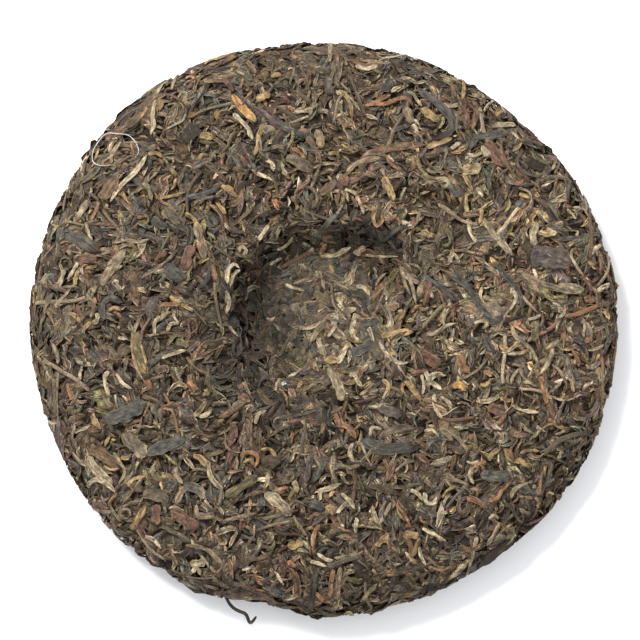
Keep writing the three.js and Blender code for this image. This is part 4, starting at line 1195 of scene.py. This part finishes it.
        "thin_olive_right": (1.1, 462, 379, 476, 371, 489, 357),
        "olive_arc_below": (1.8, 185, 545, 201, 547, 211, 552, 225, 566),
        "long_tan_below": (1.5, 222, 522, 242, 516, 257, 513),
        "tan_olive_below": (1.8, 361, 601, 368, 592, 377, 583)},
    ("strip", "grey_brown", "slate"): {"east_grey": (1.8, 378, 301, 385, 308, 391, 317),
        "south_dark_curve": (1.3, 276, 418, 298, 415, 318, 410),
        "grey_below_left": (1.9, 165, 527, 178, 534, 192, 542),
        "grey_upright_below": (2.4, 306, 431, 303, 444, 302, 458),
        "grey_arc_leaf": (3, 380, 438, 394, 430, 416, 428),
        "grey_upright_right": (1.6, 550, 462, 549, 474, 545, 486)},
    ("strip", "tan", "orange"): {"tan_orange_south": (1.3, 360, 395, 367, 390, 373, 383),
        "tan_orange_left": (2.6, 184, 487, 180, 495, 176, 504)},
    ("strip", "slate", "pale_tan"): {"slate_far_right": (1.8, 568, 355, 567, 366, 570, 379)},
    ("strip", "black_brown", "slate"): {"dark_arc_below": (2.4, 181, 556, 192, 550, 206, 553),
        "dark_leg_below": (2.6, 316, 566, 313, 590, 309, 613),
        "dark_curl_below": (1.5, 387, 590, 394, 582, 406, 584, 410, 592)},
    ("strip", "orange", "cream"): {"peach_arc": (1.8, 320, 524, 314, 535, 313, 553)},
    ("strip", "tan", "brown"): {"tan_leg": (1.8, 341, 566, 338, 582, 337, 600)},
    ("strip", "brown", "orange"): {"brown_leg": (2.2, 404, 536, 410, 544, 412, 558)},
    ("strip", "brown", "golden"): {"second_brown_leg": (1.6, 420, 538, 416, 546, 413, 556)},
    ("strip", "red_brown", "pale_tan"): {"red_dash": (1.6, 470, 490, 476, 489, 482, 490)},
    ("scroll", "orange", "golden"): {"orange_hook": (1.2, 185, 78, 192, 77, 194, 82, 189, 88),
        "orange_drop": (1.4, 158, 101, 162, 105, 159, 110),
        "orange_dot_left": (1.5, 137, 215, 140, 217, 143, 218),
        "orange_curl_at_top": (1.3, 292, 148, 299, 152, 306, 159),
        "orange_dot_at_top": (1.5, 288, 108, 292, 109, 294, 111),
        "orange_dot_below": (1.5, 288, 561, 292, 564, 296, 567)},
    ("scroll", "golden", "olive"): {"golden_curl": (1.6, 199, 160, 203, 155, 209, 156),
        "gold_spot_at_top": (1.8, 342, 144, 347, 147, 352, 151),
        "gold_smile": (1.5, 480, 384, 485, 385, 490, 381)},
    ("scroll", "golden", "brown"): {"gold_knot_left": (1.5, 149, 155, 156, 153, 162, 157)},
    ("scroll", "slate", "black_brown"): {"slate_roll": (1.8, 209, 212, 213, 218, 218, 225)},
    ("scroll", "cream", "golden"): {"cream_drop_at_top": (1.5, 267, 160, 272, 164, 273, 171),
        "pale_hook": (1.3, 473, 323, 484, 321, 487, 325, 482, 328)},
    ("scroll", "golden", "cream"): {"yellow_arc_at_top": (1.3, 328, 154, 335, 153, 340, 158),
        "gold_arc_in_slate": (1.2, 109, 311, 115, 308, 121, 311),
        "gold_at_lower_rim": (1.5, 345, 614, 349, 611, 353, 615)},
    ("scroll", "golden", "tan"): {"gold_bud_at_top": (1.8, 271, 77, 275, 75, 281, 76),
        "gold_arc_below": (1.5, 261, 450, 270, 449, 277, 458)},
    ("scroll", "orange", "pale_tan"): {
        "gold_bud": (1.2, 377, 208, 373, 216, 376, 226, 382, 222, 382, 212)},
    ("scroll", "tan", "orange"): {"tan_curl_north": (1.3, 290, 197, 296, 202, 297, 210)},
    ("scroll", "golden", "orange"): {"gold_drop_right": (1.6, 496, 116, 498, 112, 502, 111),
        "gold_drop_on_floor": (1.6, 330, 266, 332, 270, 334, 274),
        "floor_gold_bud": (1.8, 390, 349, 393, 353, 396, 356)},
    ("scroll", "pale_tan", "cream"): {"cream_loop_right": (1.8, 434, 181, 442, 179, 449, 182, 444, 189),
        "pale_hump_below": (1.3, 489, 519, 494, 515, 499, 519)},
    ("scroll", "pale_tan", "golden"): {"pale_drop_left": (1.5, 98, 313, 97, 320, 92, 324)},
    ("scroll", "orange", "red_brown"): {"orange_end_of_boat": (1.8, 146, 380, 149, 385, 150, 391),
        "orange_dot_south": (1.7, 238, 388, 241, 386, 243, 388),
        "knot": (1.5, 240, 457, 249, 452, 258, 458, 254, 468)},
    ("scroll", "olive", "golden"): {"gold_arc": (1.5, 206, 401, 201, 409, 193, 417)},
    ("scroll", "cream", "olive"): {"cream_arc_left": (1.3, 211, 407, 207, 414, 199, 417)},
    ("scroll", "pale_tan", "tan"): {"ring_nw_of_hollow": (1.4, 239, 252, 241, 247, 246, 250, 243, 256)},
    ("scroll", "white", "cream"): {"white_dot_south": (1.3, 281, 385, 284, 383, 286, 384)},
    ("scroll", "golden", "red_brown"): {"knot_inside": (1.2, 244, 463, 250, 460, 254, 465)},
    ("scroll", "cream", "tan"): {"cream_ring_below": (1.3, 424, 492, 426, 502, 434, 503, 438, 496)},
    ("scroll", "grey_brown", "tan"): {"ring_lower_left": (1.2, 122, 519, 121, 511, 128, 509, 131, 516)},
}
# Tone and thickness in mm of each stem, and the places that it passes through.
SEEN_STEMS = {
    "twig": ("pale_tan", 0.9, 166, 130, 175, 125, 183, 121, 186, 114),
    "red_stem_on_the_wall": ("red_brown", 1.5, 280, 267, 296, 258, 312, 251),
    "stem_at_right": ("orange", 1.7, 564, 317, 580, 313, 598, 305),
    "end_of_the_stem_at_right": ("brown", 1.6, 596, 306, 603, 304, 609, 303),
    "stem_lower_right": ("grey_brown", 1.9, 543, 455, 556, 442, 571, 435, 587, 432),
    "stem_below": ("grey_brown", 1.7, 328, 567, 342, 561, 360, 556),
    "red_stem_by_the_hollow": ("red_brown", 1.3, 440, 419, 456, 420, 475, 417),
}
# For each kind: its curl, how much wider its sheet is than it looks, and the shares of its
# length over which its first and its last end taper.
SHEETS = {
    "flat": (0.25, 1.0, 0.12, 0.16),
    "strip": (0.9, 1.02, 0.1, 0.22),
    "scroll": (1.8, 1.6, 0.1, 0.2),
}
SIGHT_ROUNDS = 4
NOTED_STATIONS = 14
NOTED_SIDES = 8
NOTED_RISE = 0.8
NOTED_LIFT = 0.3
NOTED_THICK = 0.3
NOTED_END_POWERS = (0.5, 0.6)
NOTED_SWINGS = (0.6, 2.2)
NOTED_WAVE = 0.16
NOTED_TEAR = (-0.2, 0.12)
NOTED_CURL_DRAW = (0.7, 1.2)
NOTED_ROLL = 0.25
NOTED_SLANT = 0.3
NOTED_CRUMPLE = 0.2
NOTED_END_DIP = 0.5
NOTED_MARGIN_TONE_AND_LIGHT = (0.15, 0.2)
STEM_BLUNTNESS = 0.15
STEM_DRAW = (0.9, 1.05)
STEM_CRUMPLE = 0.03
STEM_FLATNESS = 0.9
STEM_SECOND_TONE = 0.6


def seen_spots(path):
    """Spots on the map of the upper face for pixels of the view. A pixel's place across the view
    shrinks by how much nearer the camera the skin lies there than the aim does, and the tilt of
    the view moves it by the skin's height. The height found so far gives the next place, and
    the place on the plan gives the reach along the skin."""
    pixels = np.reshape(path, (-1, 2)) - VIEW_PIXELS / 2
    right, up = (pixels * (1, -1) * VIEW_WIDTH / MM / VIEW_PIXELS).T
    lean, rise = np.cos(np.radians(VIEW_ELEVATION)), np.sin(np.radians(VIEW_ELEVATION))
    height, y = np.full(len(pixels), TOP_HEIGHT), up
    rim = edge_line[:, 0].argmax()
    for _ in range(SIGHT_ROUNDS):
        over = height - VIEW_AIM[2]
        near = 1 - (over * rise - (y - VIEW_AIM[1]) * lean) * MM / VIEW_DISTANCE
        x = VIEW_AIM[0] + right * near
        y = VIEW_AIM[1] + (up * near - over * lean) / rise
        angle = np.arctan2(y, x)
        far = np.hypot(x, y)
        far = far - outline_swell(angle) * (far / CAKE_RADIUS) ** 3
        reach = np.interp(far, edge_line[:rim, 0], edge_reach[:rim])
        spots = np.stack([reach * np.cos(angle), reach * np.sin(angle)], -1)
        height = skin(spots)[:, 2] + NOTED_RISE
    return spots


def seen_line(path, stations):
    """A smooth line through the seen spots with its stations along it by length."""
    line = smooth_line(seen_spots(path))
    run = np.concatenate([[0], np.cumsum(np.hypot(*np.diff(line, axis=0).T))])
    at = station_shares(stations) * run[-1]
    return np.stack([np.interp(at, run, line[:, 0]), np.interp(at, run, line[:, 1])], -1)


def named_tones(names):
    """The palette's tones of these names, as light from the tea."""
    return np.array([linear(*PALETTE[name]) for name in names]) * TEA_SHADE


def lay_noted(name, lines, half, heavy, curl, roll, main, other, material, crumple, sheet):
    """A piece of leaves whose lines are given: cut, laid and coloured like the scattered ones,
    but lifted over them. Their ends dip by the sixth power of how near they are."""
    count, stations = lines.shape[:2]
    t = station_shares(stations)[None]
    turned = curl[None, :, None] * rng.uniform(*NOTED_CURL_DRAW, (2, count, 1)) * np.ones(stations)
    across, out = leaf_sections(half, heavy[:, None] * np.ones(stations), turned,
                                crumple * np.ones((count, stations)),
                                roll[:, None] * np.ones(stations), NOTED_SIDES)
    low, high = out.min(2), out.max(2)
    heights = lay("top", lines, across.max(2) - across.min(2), (high - low) * LAID_SHARE,
                  np.full(count, -NOTED_LIFT))
    heights = heights - low - NOTED_END_DIP * (2 * t - 1) ** 6
    slanted = rng.normal(0, NOTED_SLANT, (count, 1)) * (2 * t - 1)
    points = bent_leaves("top", lines, heights, across, out, slanted)
    # The edge factor lightens the margins: partly paler leaf edge, partly painted highlight.
    tones = mottled(main, (main + other) / 2, other, across.shape,
                    rng.normal(*NOTED_MARGIN_TONE_AND_LIGHT, count))
    long = np.linalg.norm(np.diff(lines, axis=1), axis=2).sum(1)
    girth = 2 * GIRTH_OF_WIDTH * half.mean(0).max(1) + heavy
    return close_leaves(name, points, long, girth, tones, material, sheet)


def outstanding_leaves():
    """The noted leaves: each is as wide as noted, tapers to both ends as its kind does, and its
    margins swing in and out by a slow wave and a draw at each station."""
    rows = [group + row for group, leaves in OUTSTANDING.items() for row in leaves.values()]
    kinds, mains, others, widths = zip(*[row[:4] for row in rows])
    lines = np.stack([seen_line(row[4:], NOTED_STATIONS) for row in rows])
    count = len(lines)
    curl, flat_width, first, last = np.array([SHEETS[kind] for kind in kinds]).T
    t = station_shares(NOTED_STATIONS)[None]
    begin = np.clip(t / first[:, None], 0, 1) ** NOTED_END_POWERS[0]
    full = begin * np.clip((1 - t) / last[:, None], 0, 1) ** NOTED_END_POWERS[1]
    wide = np.array(widths) * flat_width
    swings = rng.uniform(*NOTED_SWINGS, (2, count, 1)) * t + rng.random((2, count, 1))
    wave = NOTED_WAVE * np.sin(2 * np.pi * swings)
    tear = rng.uniform(*NOTED_TEAR, (2, count, NOTED_STATIONS))
    half = wide[:, None] / 2 * full * (1 + wave + tear)
    turned = np.where(rng.random(count) < 0.5, -curl, curl)
    return lay_noted("outstanding_leaves", lines, half, np.full(count, NOTED_THICK), turned,
                     rng.normal(0, NOTED_ROLL, count), named_tones(mains), named_tones(others),
                     downy, NOTED_CRUMPLE, True)


def outstanding_stems():
    """The noted stems: rods of their own thickness, blunt at both ends."""
    tones, thick = zip(*[stem[:2] for stem in SEEN_STEMS.values()])
    lines = np.stack([seen_line(stem[2:], NOTED_STATIONS) for stem in SEEN_STEMS.values()])
    count = len(lines)
    thick = np.array(thick)
    full = np.sin(np.pi * station_shares(NOTED_STATIONS)) ** STEM_BLUNTNESS
    half = thick[:, None] / 2 * full * rng.uniform(*STEM_DRAW, (2, count, NOTED_STATIONS))
    main = named_tones(tones)
    return lay_noted("outstanding_stems", lines, half, thick * STEM_FLATNESS, np.zeros(count),
                     np.zeros(count), main, main * STEM_SECOND_TONE, stalk, STEM_CRUMPLE, False)


outstanding_leaves()
outstanding_stems()

# Two strays: a fine white fibre in a loop at the upper left, and a dark stem that curls out of
# the rim beside the dent. Each is one thin round thread, held by its buried end, and has its
# thickness, tone, and path of spots on the map and heights above the skin in mm.
STRAYS = {
    "stray_fibre": (0.34, "white", [(-64.4, 55, 0.3), (-62, 57, 1), (-62.4, 60, 1.3),
                                   (-65.1, 63.2, 1.5), (-69.2, 64.2, 1.5), (-73.6, 65.2, 1.3),
                                   (-76.7, 62.8, 1.1), (-78.4, 59.1, 1), (-77.7, 55, 1),
                                   (-74.3, 53.3, 0.9), (-69.5, 54, 0.4)]),
    "curled_stem": (1.2, "black_brown", [(-35.5, -94, -3), (-31.6, -98.5, 3), (-27, -99, 4.6),
                                         (-25, -99.5, 7.4), (-22.5, -98.5, 6.4)]),
}
STRAY_STATIONS = 60
STRAY_SIDES = 8
STRAY_BLUNTNESS = 0.2


def stray(name, thick, tone, path):
    """A round thread along a smooth path over the skin: its radius is a low power of a sine
    along its length, so that it is thinner only close to its two ends."""
    path = np.array(path, float)
    plan, rise = smooth_line(path[:, :2]), smooth_line(np.c_[path[:, 2], path[:, 2]])[:, 0]
    at = np.linspace(0, len(plan) - 1, STRAY_STATIONS)
    line = np.stack([np.interp(at, np.arange(len(plan)), plan[:, axis]) for axis in (0, 1)], -1)
    rise = np.interp(at, np.arange(len(plan)), rise)
    middle = skin(line) + skin_out(line) * rise[:, None]
    along = unit(np.gradient(middle, axis=0))
    aside = unit(np.cross(along, (0, 0, 1)))
    upright = np.cross(aside, along)
    turn = 2 * np.pi * np.arange(STRAY_SIDES) / STRAY_SIDES - np.pi / 2
    full = np.sin(np.pi * np.linspace(0, 1, STRAY_STATIONS)) ** STRAY_BLUNTNESS
    radius = thick / 2 * full
    ring = aside[:, None] * np.cos(turn)[None, :, None]
    ring = ring + upright[:, None] * np.sin(turn)[None, :, None]
    points = (middle[:, None] + ring * radius[:, None, None])[None]
    tones = np.ones(points.shape[:3] + (1,)) * named_tones([tone])[0]
    long = np.linalg.norm(np.diff(middle, axis=0), axis=1).sum()
    return close_leaves(name, points, np.array([long]), np.array([np.pi * thick]), tones, stalk,
                        False)


for title, (width, tone, path) in STRAYS.items():
    stray(title, width, tone, path)

# The underside: coarse leaf and bits pressed flat against the stone. They are level in the
# middle, where the cake rests, and are held by the pressing alone.
scatter("underside_leaves", evenly_spread(700, 98), face="underside", length=(8, 20),
        width=(2.5, 7), curl=(-0.2, 0.3), shares=STRIP_MIX, material=plain_leaf, stations=9,
        sides=6, roll=0.1, twist=0.2)
scatter("underside_bits", evenly_spread(700, 98), face="underside", length=(3, 11), width=(1, 2.8),
        curl=(-0.3, 1.2), shares=UPPER_MIX, material=twisted_leaf, stations=7, sides=6, roll=0.2)

# The studio: a plain pale floor, a soft lamp at the upper left of the view with a weaker one
# across from it, an even pale sky, and the camera nearly overhead, tilted a little towards the
# near edge. It is in metres.
FLOOR_SIZE = 6.0
FLOOR_DROP = 0.0002
FLOOR_TONE = (0.9, 0.9, 0.905, 1)
FLOOR_ROUGHNESS = 0.9
LAMPS = {
    "key": {"place": (-0.55, 0.65, 1.0), "size": 0.45, "power": 27},
    "fill": {"place": (0.7, -0.4, 1.2), "size": 1.2, "power": 4},
}
SKY_TONE = (0.95, 0.97, 1.0, 1)
SKY_POWER = 1.0
SENSOR_WIDTH = 36
FARTHEST_SEEN = 10
bpy.ops.mesh.primitive_plane_add(size=FLOOR_SIZE, location=(0, 0, -FLOOR_DROP))
floor = bpy.context.object
floor.name = "floor"
pale = bpy.data.materials.new("pale_floor")
pale.use_nodes = True
paint = pale.node_tree.nodes["Principled BSDF"].inputs
paint["Base Color"].default_value = FLOOR_TONE
paint["Roughness"].default_value = FLOOR_ROUGHNESS
floor.data.materials.append(pale)


def soft_lamp(name, place, size, power):
    """A square lamp that shines at the cake from its place."""
    lamp = bpy.data.lights.new(name, "AREA")
    lamp.size = size
    lamp.energy = power
    made = bpy.data.objects.new(name, lamp)
    made.location = place
    made.rotation_mode = "QUATERNION"
    aim = -np.array(place)
    made.rotation_quaternion = mathutils.Vector(aim).to_track_quat("-Z", "Y")
    bpy.context.scene.collection.objects.link(made)


for title, lamp in LAMPS.items():
    soft_lamp(title, **lamp)
world = bpy.data.worlds.new("studio")
world.use_nodes = True
world.node_tree.nodes["Background"].inputs["Color"].default_value = SKY_TONE
world.node_tree.nodes["Background"].inputs["Strength"].default_value = SKY_POWER
bpy.context.scene.world = world
bpy.context.scene.view_settings.view_transform = "Standard"

lens = bpy.data.cameras.new("camera")
lens.sensor_width = SENSOR_WIDTH
lens.lens = lens.sensor_width * VIEW_DISTANCE / VIEW_WIDTH
lens.clip_end = FARTHEST_SEEN
camera = bpy.data.objects.new("camera", lens)
tilt = np.radians(VIEW_ELEVATION)
back = mathutils.Vector((0, -np.cos(tilt), np.sin(tilt)))
camera.location = mathutils.Vector(VIEW_AIM) * MM + back * VIEW_DISTANCE
camera.rotation_mode = "QUATERNION"
camera.rotation_quaternion = (-back).to_track_quat("-Z", "Y")
bpy.context.scene.collection.objects.link(camera)
bpy.context.scene.camera = camera
